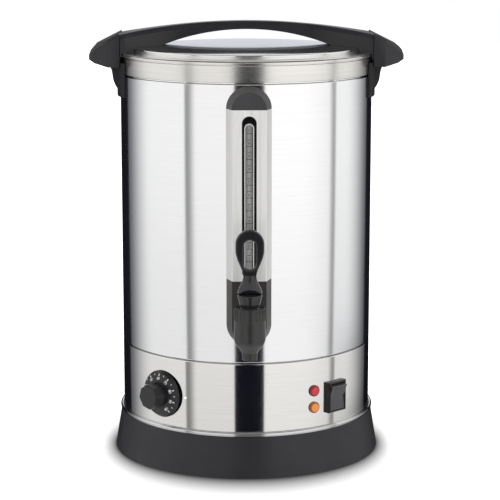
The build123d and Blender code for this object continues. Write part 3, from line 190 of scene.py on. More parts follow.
# Each flag: left edge, right edge, softness left, softness right (degrees from the camera's
# bearing, to the right), how bright it is, and its tint.
flags = [
    (15.0, 46.0, 1.0, 40.0, 1.13, (1.0, 1.0, 1.0)),  # the brightest box, right of the camera
    (-190.0, -135.0, 1.0, 43.0, 0.13, (0.94, 0.97, 1.08)),  # light that falls off to the sides
    (143.0, 190.0, 45.0, 1.0, 0.10, (0.98, 0.98, 1.06)),
    (-9.6, 15.2, 0.9, 0.7, 0.010, (0.72, 0.85, 1.4)),  # the gap where the camera stands
    (-54.4, -52.6, 0.6, 9.0, 0.30, (0.98, 1.0, 0.98)),  # a thin flag on either side
    (83.0, 85.0, 6.0, 0.8, 0.38, (1.0, 0.99, 0.97)),
    (-169.0, -133.0, 2.0, 0.8, 0.010, (0.8, 0.9, 1.3)),  # the black flags beside the wall
    (139.8, 169.0, 0.8, 2.0, 0.010, (0.8, 0.9, 1.3)),
    (171.0, 190.0, 2.0, 1.0, 0.72, (0.96, 1.0, 1.08)),  # the wall behind the urn
    (-190.0, -171.0, 1.0, 2.0, 0.72, (0.96, 1.0, 1.08)),
]
dim_tone = 0.55  # of the light low on the right
dim_bearings = (60, 125)  # between which it grows dim
dim_heights = (-0.26, -0.40)
even_heights = (0.75, 1.15)  # between which the flags end in one even soft box
glow_heights, glow_low = (-0.45, 0.35), 0.86  # the whole ring glows a little less low down


def wall_between(bm, here, there):
    """Adds the faces between two rings of as many corners."""
    for k in range(len(here)):
        j = (k + 1) % len(here)
        bm.faces.new((here[k], here[j], there[j], there[k]))


def placed_mesh(name, bm):
    """The bmesh as a new object in the scene."""
    mesh = bpy.data.meshes.new(name)
    bm.to_mesh(mesh)
    bm.free()
    return placed(name, mesh)


def only_in_reflections(made):
    """Hides a piece of the studio from everything but reflections."""
    for sense in ("camera", "diffuse", "shadow", "transmission", "volume_scatter"):
        setattr(made, "visible_" + sense, False)


def ring_material():
    """Light that depends only on the bearing and the height on the ring."""
    made = bpy.data.materials.new("ring_light")
    made.use_nodes = True
    tree = made.node_tree
    tree.nodes.clear()
    place = add(tree, "SeparateXYZ", {0: own_place(tree)})
    height = place.outputs["Z"]
    toward = calc(tree, "MULTIPLY", place.outputs["Y"], -1.0)
    turn = calc(tree, "ARCTAN2", place.outputs["X"], toward)
    bearing = calc(tree, "ADD", calc(tree, "DEGREES", turn), degrees(camera_heading))
    side = spread(tree, bearing, -180, 180, -1, 1)
    fall = calc(tree, "POWER", calc(tree, "ABSOLUTE", side), 3.0)
    light = blend_colours(tree, fall, soft_box, grey(0.90, -0.02))
    for left, right, soft_left, soft_right, level, tint in flags:
        rise = spread(tree, bearing, left - soft_left, left, smooth=True)
        drop = spread(tree, bearing, right, right + soft_right, 1.0, 0.0, smooth=True)
        shade = tuple(level * t for t in tint) + (1.0,)
        light = blend_colours(tree, calc(tree, "MULTIPLY", rise, drop), light, shade)
    low = spread(tree, height, *dim_heights, smooth=True)
    low = calc(tree, "MULTIPLY", low, spread(tree, bearing, *dim_bearings, smooth=True))
    light = blend_colours(tree, low, light, grey(dim_tone, -0.02), "MULTIPLY")
    above = spread(tree, height, *even_heights, smooth=True)
    light = blend_colours(tree, above, light, soft_box)
    strength = spread(tree, height, *glow_heights, glow_low, 1.0, smooth=True)
    glow = add(tree, "Emission", {"Color": light, "Strength": strength})
    tree.links.new(glow.outputs[0], add(tree, "OutputMaterial").inputs["Surface"])
    return made


def ring_of_light():
    """The open cylinder that carries the light, seen by reflections alone."""
    turns = 96
    bm = bmesh.new()
    rims = []
    for level in (ring_low, ring_high):
        rim = []
        for i in range(turns):
            turn = 2 * pi * i / turns
            rim.append(bm.verts.new((ring_radius * sin(turn), ring_radius * cos(turn), level)))
        rims.append(rim)
    wall_between(bm, *rims)
    ring = placed_mesh("ring_of_light", bm)
    ring.data.materials.append(ring_material())
    only_in_reflections(ring)


def dark_ceiling():
    """A dark grey cloth over the urn, so that polished faces that look up aren't all white."""
    bpy.ops.mesh.primitive_circle_add(
        vertices=64, radius=ring_radius, fill_type="NGON", location=(0, 0, ceiling_height)
    )
    made = bpy.context.object
    made.name = "dark_ceiling"
    finish("grey_cloth", Base_Color=grey(cloth_tone), Specular_IOR_Level=0.0)
    made.data.materials.append(finishes["grey_cloth"])
    only_in_reflections(made)


ring_of_light()
dark_ceiling()
print("studio: ring with", len(flags), "flags")

# %% [markdown]
# The floor is plain white paper. Further off it glows by itself, so that it reads as one white with the
# background. Close to the base its glow is weaker, so there it takes the urn's real shadow, and a
# painted contact shadow also darkens its colour and its glow round the base's rim.

# %% The floor, the world and the lamps
floor_size = 12.0
foot_radius = 0.139  # of the base's rim
shade_front, shade_side = 0.038, 0.009  # how far the painted contact shadow reaches from the rim
# how dark the painted contact shadow is at the base's rim
shade_depth = 0.88
paper_tone = 0.86
glow_at_rim = 0.30  # of the full glow
glow_reach = 3.0  # how far out the full glow starts, in reaches of the shade


def paper():
    """White paper with a painted contact shadow round the base and a glow that only the camera sees."""
    tree, shader = finish("paper", Roughness=0.9, Specular_IOR_Level=0.0, Emission_Color=grey(1.0))
    place = own_place(tree)
    away = add(tree, "VectorMath", {0: place}, operation="LENGTH").outputs["Value"]
    ahead = calc(tree, "DIVIDE", add(tree, "SeparateXYZ", {0: place}).outputs["Y"], away)
    ahead = calc(tree, "MULTIPLY", ahead, ahead)
    reach = calc(tree, "MULTIPLY_ADD", ahead, shade_front - shade_side, shade_side)
    gap = calc(tree, "DIVIDE", calc(tree, "SUBTRACT", away, foot_radius), reach)
    fade = calc(tree, "EXPONENT", calc(tree, "MULTIPLY", gap, -1.0))
    # painted contact shadow: darkens the paper's colour and its glow near the base's rim
    painted_shadow_factor = calc(tree, "SUBTRACT", 1.0, calc(tree, "MULTIPLY", fade, shade_depth, clamp=True))
    tree.links.new(blend_colours(tree, painted_shadow_factor, grey(0.0), grey(paper_tone)), shader["Base Color"])
    glow = calc(tree, "MULTIPLY", spread(tree, gap, 0.0, glow_reach, glow_at_rim, 1.0), painted_shadow_factor)
    seen = add(tree, "LightPath").outputs["Is Camera Ray"]
    tree.links.new(calc(tree, "MULTIPLY", seen, glow), shader["Emission Strength"])


paper()
bpy.ops.mesh.primitive_plane_add(size=floor_size, location=(0, 0, 0))
floor = bpy.context.object
floor.name = "floor"
floor.data.materials.append(finishes["paper"])
floor.visible_glossy = False

ambient = 0.62  # how bright the world is as ambient light
lamp_aim = Vector((0, 0, 0.2))
lamps = [  # each with its place, its size in metres and its power in watts
    ("lamp_left", (-1.6, -1.5, 1.9), 1.2, 16),
    ("lamp_right", (1.7, -1.3, 1.7), 1.2, 12),
    ("lamp_top", (0.0, 0.3, 2.4), 1.5, 16),
]


def white_world():
    """White to the camera and to reflections, softer as ambient light."""
    world = bpy.data.worlds.new("world")
    scene.world = world
    world.use_nodes = True
    tree = world.node_tree
    tree.nodes.clear()
    path = add(tree, "LightPath")
    seen = calc(tree, "MAXIMUM", path.outputs["Is Camera Ray"], path.outputs["Is Glossy Ray"])
    seen = calc(tree, "MAXIMUM", seen, path.outputs["Is Transmission Ray"])
    strength = spread(tree, seen, 0, 1, ambient, 1.0)
    sky = add(tree, "Background", {"Color": grey(1.0), "Strength": strength})
    tree.links.new(sky.outputs[0], add(tree, "OutputWorld").inputs["Surface"])


def soft_lamp(name, place, size, power):
    """A square soft lamp aimed at the middle of the urn."""
    data = bpy.data.lights.new(name, "AREA")
    data.size = size
    data.energy = power
    lamp = placed(name, data)
    lamp.location = place
    lamp.rotation_euler = (lamp_aim - Vector(place)).to_track_quat("-Z", "Y").to_euler()
    lamp.visible_glossy = False


white_world()
for lamp in lamps:
    soft_lamp(*lamp)
scene.view_settings.view_transform = "Standard"
print("floor", floor_size, "m wide, and", len(lamps), "lamps")

# %% [markdown]
# ## Effects that several finishes share
# Brushed metal, moulded plastic and handled surfaces repeat over the urn. Each is a node group
# that puts out only masks and heights, and a finish places it with its own numbers.


# %% Brushed lines, moulding grain, handling marks, rubbed edges
def noise(tree, place, scale, **inputs):
    """A noise texture's value."""
    return add(tree, "TexNoise", {"Vector": place, "Scale": scale, **inputs}).outputs[0]


def brushed_lines():
    """Fine parallel lines. Lines is how many per metre on each axis, Breadth the share of broad ones."""
    inputs = {"Lines": ("Vector", (40, 40, 3000)), "Breadth": ("Float", 0.2)}
    tree, given, out = new_group("brushed_lines", inputs, {"Tone": "Float", "Height": "Float"})
    place = add(tree, "VectorMath", {0: own_place(tree), 1: given["Lines"]}, operation="MULTIPLY")
    fine = noise(tree, place.outputs[0], 1.0, Detail=3.0, Roughness=0.65)
    wide = noise(tree, place.outputs[0], 0.13, Detail=2.0, Roughness=0.5)
    tree.links.new(fine, out["Height"])
    step = calc(tree, "SUBTRACT", wide, fine)
    tree.links.new(calc(tree, "MULTIPLY_ADD", step, given["Breadth"], fine), out["Tone"])
    return tree


def moulding_grain():
    """The fine spark-eroded grain of moulded plastic, and faint clouds fifty times its size."""
    tree, given, out = new_group(
        "moulding_grain", {"Scale": ("Float", 1600.0)}, {"Tone": "Float", "Height": "Float"}
    )
    place = own_place(tree)
    cloud_scale = calc(tree, "MULTIPLY", given["Scale"], 0.02)
    tree.links.new(noise(tree, place, given["Scale"], Detail=4.0, Roughness=0.7), out["Height"])
    tree.links.new(noise(tree, place, cloud_scale, Detail=3.0), out["Tone"])
    return tree


def handling_marks():
    """Soft patches where hands and cloths have been."""
    tree, given, out = new_group("handling_marks", {"Scale": ("Float", 14.0)}, {"Mask": "Float"})
    cloud = noise(tree, own_place(tree), given["Scale"], Detail=5.0, Distortion=0.6)
    tree.links.new(spread(tree, cloud, 0.46, 0.68, smooth=True), out["Mask"])
    return tree


def rubbed_edges():
    """Where a surface turns sharply, it is rubbed lighter and smoother."""
    tree, given, out = new_group("rubbed_edges", {"Radius": ("Float", 0.0008)}, {"Mask": "Float"})
    softer = add(tree, "Bevel", {"Radius": given["Radius"]}, samples=4)
    own = add(tree, "NewGeometry").outputs["Normal"]
    same = add(tree, "VectorMath", {0: softer.outputs[0], 1: own}, operation="DOT_PRODUCT")
    tree.links.new(spread(tree, same.outputs["Value"], 0.99, 0.80), out["Mask"])
    return tree


effects = (brushed_lines, moulding_grain, handling_marks, rubbed_edges)
shared = {build.__name__: build() for build in effects}
print("shared effects:", ", ".join(shared))


def effect(tree, name, **inputs):
    """One of the shared effects, placed in a finish; its outputs."""
    node = tree.nodes.new("ShaderNodeGroup")
    node.node_tree = shared[name]
    for key, value in inputs.items():
        node.inputs[key].default_value = value
    return node.outputs


def raise_surface(tree, shader, height, depth):
    """Bumps of a given depth in metres."""
    bump = add(tree, "Bump", {"Height": height, "Distance": depth, "Strength": 1.0})
    tree.links.new(bump.outputs[0], shader["Normal"])


# %% [markdown]
# ## Steel
# The shell, the band and the casing are brushed stainless sheet. A picture of scratches would
# need unwrapping, so the lines come from noise that is stretched along them. The reflections are
# drawn out across the lines by the shader's own anisotropy.


# %% Steel finishes
around = (22, 22, 3400)  # lines per metre on x, y and z, of brushing round the axis
around_broad = (7, 7, 5200)
up_down = (2200, 2200, 22)
flank_shade_tone, flank_shade_share, flank_shade_fade = 0.30, 0.30, 0.0006  # of the painted shade on a flank
satin_roughness, satin_fade = 0.20, 0.0004  # what a satin stretch adds, and how it starts


def steel(
    name, colour, roughness, lines, depth=4e-6, contrast=0.10, drawn_out=0.0, turn=0.25, breadth=0.2,
    satin_below=None, flank_shade_beyond=None, satin=0.0,
):
    """Stainless steel. It may be satin below a height, or carry a painted shade beyond a half-width, in
    metres.
    """
    tree, shader = finish(
        name, Metallic=1.0 - satin, Anisotropic=drawn_out, Anisotropic_Rotation=turn
    )
    brush = effect(tree, "brushed_lines", Lines=lines, Breadth=breadth)
    marks = effect(tree, "handling_marks", Scale=9.0)
    light = tuple(min(1.0, c * (1 + contrast / 2)) for c in colour) + (1.0,)
    tone = spread(tree, brush["Tone"], 0.35, 0.65)
    place = add(tree, "SeparateXYZ", {0: own_place(tree)})
    shade = blend_colours(tree, tone, tinted(colour, 1 - contrast), light)
    # painted shade: beyond the half-width the colour is darkened towards a grey
    if flank_shade_beyond:
        painted_flank_shade = calc(tree, "ABSOLUTE", place.outputs["X"])
        painted_flank_shade = spread(tree, painted_flank_shade, flank_shade_beyond, flank_shade_beyond + flank_shade_fade, 0.0, flank_shade_share)
        shade = blend_colours(tree, painted_flank_shade, shade, grey(flank_shade_tone))
    tree.links.new(shade, shader["Base Color"])
    rough = calc(tree, "MULTIPLY_ADD", tone, -0.25 * roughness, 1.1 * roughness)
    if satin_below:
        low = spread(tree, place.outputs["Z"], satin_below - satin_fade, satin_below, 1.0, 0.0)
        rough = calc(tree, "MULTIPLY_ADD", low, satin_roughness, rough)
    rough = calc(tree, "MULTIPLY_ADD", marks["Mask"], 0.12 * roughness, rough)
    tree.links.new(rough, shader["Roughness"])
    raise_surface(tree, shader, brush["Height"], depth)


def metal(name, colour, roughness, scale=900.0, depth=6e-6):
    """Plain cast, turned or pressed metal with a fine grain."""
    tree, shader = finish(name, Metallic=1.0)
    grain = effect(tree, "moulding_grain", Scale=scale)
    tone = spread(tree, grain["Tone"], 0.3, 0.7)
    shade = blend_colours(tree, tone, tinted(colour, 0.8), tinted(colour))
    tree.links.new(shade, shader["Base Color"])
    rough = spread(tree, grain["Height"], 0.3, 0.7, 0.85 * roughness, 1.2 * roughness)
    tree.links.new(rough, shader["Roughness"])
    raise_surface(tree, shader, grain["Height"], depth)


# %% The steels and the other metals
steel(
    "brushed_steel", (0.90, 0.90, 0.905), 0.14, around,
    depth=1.5e-6, contrast=0.03, drawn_out=0.8, breadth=0.1,
)
steel(
    "band_steel", (0.785, 0.775, 0.755), 0.11, around,
    depth=1.5e-6, contrast=0.05, drawn_out=0.8, breadth=0.05,
)
steel(
    "collar_steel", (0.80, 0.78, 0.74), 0.25, around_broad,
    depth=3e-6, contrast=0.12, drawn_out=0.5, breadth=0.1,
)
# The channel's slanting flanks carry a painted shade.
steel(
    "channel_steel", (1.0, 0.985, 0.955), 0.60, up_down,
    depth=8e-6, contrast=0.14, drawn_out=0.85, turn=0.0, breadth=0.7, satin=0.45, flank_shade_beyond=0.0168,
)
steel("lid_steel", (0.80, 0.79, 0.77), 0.08, around, depth=5e-7, contrast=0.06, satin_below=0.4208)
steel("bright_steel", (0.66, 0.66, 0.665), 0.12, around, depth=1e-6, contrast=0.03)
steel("tank_steel", (0.78, 0.77, 0.75), 0.22, around, contrast=0.08)
metal("fastener_steel", (0.62, 0.62, 0.61), 0.34)
metal("plate_steel", (0.58, 0.59, 0.60), 0.42)
metal("element_steel", (0.30, 0.29, 0.28), 0.48)
metal("cast_plate", (0.50, 0.50, 0.49), 0.55, scale=600.0, depth=3e-5)
metal("brass_parts", (0.80, 0.62, 0.30), 0.30)
metal("copper_parts", (0.85, 0.50, 0.36), 0.32)
print("finishes with the metals:", len(finishes))

# %% [markdown]
# ## Plastic, rubber and glass
# The handles, the gauge covers, the tap and the base are black thermoplastic. They differ only in
# tone, in how deep the moulding grain is and in how much the surface shines, so one function makes
# them all. The lamps' lenses and the gauge's clear tube each have a function of their own.


# %% Plastic finishes
def plastic(name, colour, roughness, depth=1.2e-5, rub=0.5, specular=0.5, worn=None, glow=0.0):
    """Moulded plastic: a fine grain, faint clouds of shade, edges rubbed a little lighter and, where
    glow is given, a painted glow.
    """
    tree, shader = finish(name, Specular_IOR_Level=specular)
    grain = effect(tree, "moulding_grain", Scale=1500.0)
    edges = effect(tree, "rubbed_edges", Radius=0.0007)
    marks = effect(tree, "handling_marks", Scale=22.0)
    worn = grey(worn) if worn else tuple(c * 2.0 + 0.01 for c in colour) + (1.0,)
    # painted light: a glow on a piece that is no lamp
    if glow:
        shader["Emission Color"].default_value = tinted(colour)
        shader["Emission Strength"].default_value = glow
    tone = spread(tree, grain["Tone"], 0.3, 0.7)
    shade = blend_colours(tree, tone, tinted(colour, 0.82), tinted(colour, 1.15))
    rubbed = calc(tree, "MULTIPLY", edges["Mask"], rub)
    tree.links.new(blend_colours(tree, rubbed, shade, worn), shader["Base Color"])
    rough = spread(tree, marks["Mask"], 0, 1, roughness * 1.06, roughness * 0.9)
    tree.links.new(calc(tree, "MULTIPLY_ADD", rubbed, -0.15 * roughness, rough), shader["Roughness"])
    raise_surface(tree, shader, grain["Height"], depth)


# %% The plastics, the rubber and the prints
plastic("base_plastic", (0.013, 0.013, 0.017), 0.46)
plastic("handle_plastic", (0.013, 0.013, 0.0155), 0.38)
plastic("gauge_plastic", (0.048, 0.044, 0.042), 0.42, specular=0.25)
plastic("cap_plastic", (0.052, 0.050, 0.053), 0.46, specular=0.2)
plastic("liner_plastic", (0.003, 0.003, 0.003), 0.30, specular=0.15)
plastic("tap_plastic", (0.017, 0.017, 0.019), 0.19, depth=6e-6)
plastic("barrel_plastic", (0.024, 0.023, 0.022), 0.34, depth=8e-6, worn=0.12)
plastic("dial_plastic", (0.008, 0.008, 0.010), 0.34, depth=6e-6)
plastic("switch_plastic", (0.010, 0.009, 0.008), 0.30, depth=6e-6)
plastic("key_plastic", (0.055, 0.055, 0.060), 0.20, depth=4e-6, specular=0.7, rub=0.9, worn=0.30)
plastic("inlet_plastic", (0.020, 0.020, 0.021), 0.45)
plastic("elbow_plastic", (0.35, 0.34, 0.32), 0.45)
plastic("button_red", (0.45, 0.03, 0.03), 0.40)
plastic("silicone", (0.62, 0.60, 0.56), 0.55, rub=0.1, specular=0.4)
plastic("rubber_feet", (0.018, 0.018, 0.018), 0.75, rub=0.2, specular=0.3)
# The pale strip, the window's white edge and the index dot carry a painted glow.
plastic("scale_back", (0.86, 0.85, 0.82), 0.5, rub=0.1, glow=0.17)
plastic("scale_print", (0.85, 0.85, 0.84), 0.35, rub=0.1, glow=0.10)
plastic("scale_ink", (0.05, 0.05, 0.05), 0.5, rub=0.0)
plastic("dot_print", (0.95, 0.95, 0.95), 0.4, rub=0.0, glow=0.45)
plastic("dial_print", (0.93, 0.93, 0.93), 0.5, rub=0.0)
print("finishes with the plastics:", len(finishes))

# %% The lenses and the clear tube
lamp_azimuth = 30.5  # degrees to the right of the front
lens_front = 0.0028  # how far a lens's front stands out from the casing, in metres
lens_painted_fade = (0.0038, 0.0050)  # from its middle, between which the painted glow and light end
# strength of the painted glow in the lenses' middles
lens_painted_glow = 0.16


def middle_height(node):
    """The height of a node's middle, in mm."""
    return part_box(node)[0].z / MM / 2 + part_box(node)[1].z / MM / 2


def lens_glass(name, colour, glow, middle):
    """The tinted lens of an indicator lamp: a painted glow in its middle, a painted darker shade at its
    rim.
    """
    tree, shader = finish(name, Roughness=0.12, IOR=1.49, Coat_Weight=0.4)
    grain = effect(tree, "moulding_grain", Scale=700.0)
    away = add(tree, "VectorMath", {0: own_place(tree), 1: middle}, operation="DISTANCE")
    painted_middle_light = spread(tree, away.outputs["Value"], *lens_painted_fade, 1.0, 0.0, smooth=True)
    painted_middle_light = calc(tree, "MULTIPLY", painted_middle_light, spread(tree, grain["Tone"], 0.3, 0.7, 0.8, 1.0))
    shade = blend_colours(tree, painted_middle_light, tinted(colour, 0.35), tinted(colour))
    tree.links.new(shade, shader["Base Color"])
    tree.links.new(blend_colours(tree, painted_middle_light, grey(0.0), tinted(glow)), shader["Emission Color"])
    shader["Emission Strength"].default_value = lens_painted_glow
    raise_surface(tree, shader, grain["Height"], 4e-6)


def lens_middle(node):
    """The middle of a lens's front, in metres."""
    turn = radians(lamp_azimuth)
    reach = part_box("lower_casing")[1].x + lens_front
    return Vector((reach * sin(turn), -reach * cos(turn), middle_height(node) * MM))


def clear_plastic(name):
    """The gauge's clear tube: hardly tinted, with faint drawn lines along it and a light shadow."""
    tree, shader = finish(
        name, Base_Color=(0.98, 0.985, 0.985, 1.0), IOR=1.46, Transmission_Weight=1.0
    )
    brush = effect(tree, "brushed_lines", Lines=(900, 900, 12))
    tree.links.new(spread(tree, brush["Tone"], 0.3, 0.7, 0.02, 0.10), shader["Roughness"])
    raise_surface(tree, shader, brush["Height"], 3e-6)
    shade = add(tree, "LightPath").outputs["Is Shadow Ray"]
    tree.links.new(spread(tree, shade, 0, 1, 1.0, 0.1), shader["Alpha"])


lens_glass("red_glass", (0.55, 0.012, 0.022), (0.9, 0.04, 0.06), lens_middle("red_lens"))
lens_glass("amber_glass", (0.85, 0.24, 0.02), (1.0, 0.45, 0.10), lens_middle("amber_lens"))
clear_plastic("clear_tube")
print("finishes:", len(finishes))

# %% [markdown]
# The finishes are named for the record's material slots. A node that keeps the frame's mesh only
# changes its material. Some pieces share a slot but look different on the real urn, such as the
# black liner and the cover over it, so a few finishes belong to no slot and a piece asks for one.

# %% The finishes on the frame's own nodes
for node in nodes.values():
    for slot in node.material_slots:
        look = slot.material.name.split(".")[0] if slot.material else ""
        if look in finishes:
            slot.material = finishes[look]
# The tap's barrel is duller than its bonnet and its lever.
nodes["tap_body"].material_slots[0].material = finishes["barrel_plastic"]

# %% [markdown]
# ## Helpers for meshes
# Most of the urn is turned, pressed or moulded. A turned or spun piece is a lathe: an outline with
# rounded corners, swept round an axis. A moulded piece keeps the frame's own shape, but its sharp
# edges are rolled over a little, because no real moulding has a knife edge and the thin highlight
# along an edge is what makes it look solid.


# %% Helpers for meshes
ring_turns = 256  # sides of the large turned pieces
sharp_angle = 40  # degrees; a sharper fold is shaded as an edge
bevel_angle = 30  # degrees; a sharper fold of a moulded piece is rolled over
flat_angle = 0.4  # degrees; facets flatter than this are one face


def rounded(corners, steps=6):
    """A closed flat outline. Each corner is (x, y) or (x, y, radius of its rounding)."""
    points = []
    for i, corner in enumerate(corners):
        here = Vector(corner[:2])
        radius = corner[2] if len(corner) == 3 else 0.0
        if radius == 0:
            points.append(here)
            continue
        back = (Vector(corners[i - 1][:2]) - here).normalized()
        ahead = (Vector(corners[(i + 1) % len(corners)][:2]) - here).normalized()
        half = back.angle(ahead) / 2
        centre = here + (back + ahead).normalized() * (radius / sin(half))
        first = here + back * (radius / tan(half)) - centre
        last = here + ahead * (radius / tan(half)) - centre
        start = atan2(first.y, first.x)
        sweep = (atan2(last.y, last.x) - start + pi) % (2 * pi) - pi
        for s in range(steps + 1):
            turn = start + sweep * s / steps
            points.append(centre + Vector((cos(turn), sin(turn))) * radius)
    return points


def turned(outline, turns=ring_turns, seat=None):
    """A closed outline of (radius, height) in mm, swept round the seat's own Z; the new bmesh."""
    bm = bmesh.new()
    seat = seat or Matrix.Identity(4)
    columns = []
    for i in range(turns):
        turn = 2 * pi * i / turns
        column = []
        for k, (radius, height) in enumerate(outline):
            if radius < 1e-6 and i > 0:
                column.append(columns[0][k])
                continue
            place = seat @ Vector((radius * sin(turn), -radius * cos(turn), height))
            column.append(bm.verts.new(place * MM))
        columns.append(column)
    count = len(outline)
    for i in range(turns):
        here, there = columns[i], columns[(i + 1) % turns]
        for k in range(count):
            ring = [here[k], there[k], there[(k + 1) % count], here[(k + 1) % count]]
            corners = [v for n, v in enumerate(ring) if v not in ring[:n]]
            if len(corners) > 2:
                bm.faces.new(corners)
    bmesh.ops.recalc_face_normals(bm, faces=bm.faces)
    return bm


def panel(azimuth, height, reach):
    """A seat on the urn's wall, in mm: its x runs along the wall, its y up and its z outwards."""
    turn = radians(azimuth)
    out = Vector((sin(turn), -cos(turn), 0))
    along = Vector((cos(turn), sin(turn), 0))
    seat = Matrix((along, Vector((0, 0, 1)), out)).transposed().to_4x4()
    seat.translation = out * reach + Vector((0, 0, height))
    return seat


def piece(name, bm, body, slot, stands_for=(), weighted=False, look=None):
    """Makes the bmesh a finished piece that rides on a body and may stand for CAD nodes."""
    made = placed_mesh(name, bm)
    made.data.shade_smooth()
    made.data.set_sharp_from_angle(angle=radians(sharp_angle))
    made.data.materials.append(finishes[look or slot])
    if weighted:
        made.modifiers.new("even_shading", "WEIGHTED_NORMAL").keep_sharp = True
    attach(made, body)
    if stands_for:
        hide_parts(*stands_for)


def softened(node, width, segments=3, chosen=None):
    """A copy of a CAD node's mesh with its edges, or the chosen ones, rolled over by width (mm)."""
    bm = bmesh.new()
    bm.from_mesh(nodes[node].data)
    bmesh.ops.remove_doubles(bm, verts=bm.verts, dist=1e-6)
    bmesh.ops.dissolve_limit(bm, angle_limit=radians(flat_angle), verts=bm.verts, edges=bm.edges)
    edges = [e for e in bm.edges if e.is_manifold and e.calc_face_angle(0) > radians(bevel_angle)]
    if chosen:
        edges = [e for e in edges if chosen((e.verts[0].co + e.verts[1].co) / (2 * MM))]
    bmesh.ops.bevel(
        bm, geom=edges, offset=width * MM, offset_type="OFFSET", segments=segments, profile=0.5,
        affect="EDGES", clamp_overlap=True,
    )
    for layer in list(bm.loops.layers.float_vector):
        bm.loops.layers.float_vector.remove(layer)
    return bm


# %% [markdown]
# ## The steel body
# The shell, the band above it and the casing below are rolled from sheet. At each seam the edges
# curl inwards, so a seam is a dark groove between two soft edges, one of which catches the light.
# Each ring is turned from one closed outline, wall thickness included.

# %% The steel rings
casing_low, casing_high = (corner.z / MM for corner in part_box("lower_casing"))
band_low, band_high = (corner.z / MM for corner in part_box("top_collar"))
body_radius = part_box("lower_casing")[1].x / MM
sheet = 0.8
curl = 3.4  # how far the edges turn inwards at a seam
lap = 5.0  # how far the shell runs on behind its neighbours
low_seam, high_seam = 1.3, 1.5  # how wide the seams are
bend, wall_bend, tight_bend = 0.8, 0.5, 0.4
shell_low = casing_high + low_seam
shell_high = band_low - high_seam
inside = body_radius - curl
wall_inside = body_radius - sheet

shell = rounded([
    (inside, shell_low - lap), (inside, shell_low, tight_bend), (body_radius, shell_low, bend),
    (body_radius, shell_high, bend), (inside, shell_high, tight_bend), (inside, shell_high + lap),
    (inside - sheet, shell_high + lap), (inside - sheet, shell_high - sheet, wall_bend),
    (wall_inside, shell_high - sheet, wall_bend), (wall_inside, shell_low + sheet, wall_bend),
    (inside - sheet, shell_low + sheet, wall_bend), (inside - sheet, shell_low - lap),
])
casing = rounded([
    (body_radius, casing_low), (body_radius, casing_high, 1.5), (inside + sheet, casing_high, 0.3),
    (inside + sheet, casing_high - sheet), (wall_inside, casing_high - sheet, wall_bend),
    (wall_inside, casing_low),
])
groove_high = band_high - 1.3  # of the shadow groove that the tank's lip hangs over
groove_low = groove_high - 1.5
groove_radius = body_radius - 1.2  # at its bottom
groove_inside = groove_radius - sheet
band = rounded([
    (inside + sheet, band_low, 0.3), (body_radius, band_low, bend), (body_radius, groove_low, 0.5),
    (groove_radius, groove_low, 0.3), (groove_radius, groove_high, 0.3),
    (body_radius, groove_high, 0.3), (body_radius, band_high), (wall_inside, band_high),
    (wall_inside, groove_high + sheet), (groove_inside, groove_high + sheet),
    (groove_inside, groove_low - sheet), (wall_inside, groove_low - sheet),
    (wall_inside, band_low + sheet, tight_bend), (inside + sheet, band_low + sheet),
])
piece("shell", turned(shell), "root", "brushed_steel", stands_for=["outer_shell"])
piece("casing", turned(casing), "root", "band_steel", stands_for=["lower_casing"])
piece("band", turned(band), "root", "band_steel", stands_for=["top_collar"], look="collar_steel")
print("steel rings: seams at", round(casing_high, 1), "and", round(band_low, 1), "mm")

# %% [markdown]
# The inner tank is drawn from one sheet. Its rim rolls over the band's top edge and hangs down a
# little outside it, so from the front it is the first bright line under the lid. The trim ring
# over the base is a polished bead.

# %% The tank and the trim ring
tank_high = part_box("tank")[1].z / MM
tank_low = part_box("tank")[0].z / MM
rim_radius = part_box("tank")[1].x / MM
tank_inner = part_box("lid_seal")[1].x / MM + 0.3
tank_sheet = 0.8
tank_outer = tank_inner + tank_sheet
lip_inner = body_radius + 0.1
lip_low = tank_high - 2.4
tank_corner = 7.0

tank = rounded([
    (0, tank_low), (tank_outer, tank_low, tank_corner + tank_sheet),
    (tank_outer, tank_high - tank_sheet, 0.3), (lip_inner, tank_high - tank_sheet, 0.2),
    (lip_inner, lip_low), (rim_radius, lip_low, 0.3),
    (rim_radius, tank_high, 1.1), (tank_inner, tank_high, 0.5),
    (tank_inner, tank_low + tank_sheet, tank_corner), (0, tank_low + tank_sheet),
])
piece("tank_drawn", turned(tank), "root", "tank_steel", stands_for=["tank"])

trim_low, trim_high = (corner.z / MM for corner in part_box("trim_ring"))
trim_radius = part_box("trim_ring")[1].x / MM
trim_inner = body_radius + 0.1
bead_foot = trim_radius - 1.6  # the bead is undercut where it meets the base
bead_low = trim_low + 0.8
trim = rounded([
    (trim_inner, trim_low), (bead_foot, trim_low), (bead_foot, bead_low),
    (trim_radius, bead_low, 1.1), (trim_radius, trim_high, 1.4), (trim_inner, trim_high, 1.2),
], steps=8)
piece("trim_bead", turned(trim), "root", "bright_steel", stands_for=["trim_ring"])
print("tank rim at", round(tank_high, 1), "mm, bead", round(trim_high - trim_low, 1), "mm tall")

# %% [markdown]
# ## The lid
# The lid is a polished pressing: a shallow dome, a short wall that turns down, and a flange that
# lies on the rim. The dome matters, because it squeezes the mirrored arch into a thin dark smile.

# %% The lid
flange_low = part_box("lid_pan")[0].z / MM
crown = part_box("lid_pan")[1].z / MM
flange_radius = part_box("lid_pan")[1].x / MM
wall_radius = flange_radius - 13.2
shoulder = 421.9  # where the dome meets the wall
lid_sheet = 0.8
dome_steps = 24


def dome(radius):
    """Height of the dome at this distance from the axis."""
    rise = crown - shoulder
    sphere = (wall_radius ** 2 + rise ** 2) / (2 * rise)
    return crown - sphere + sqrt(sphere ** 2 - radius ** 2)


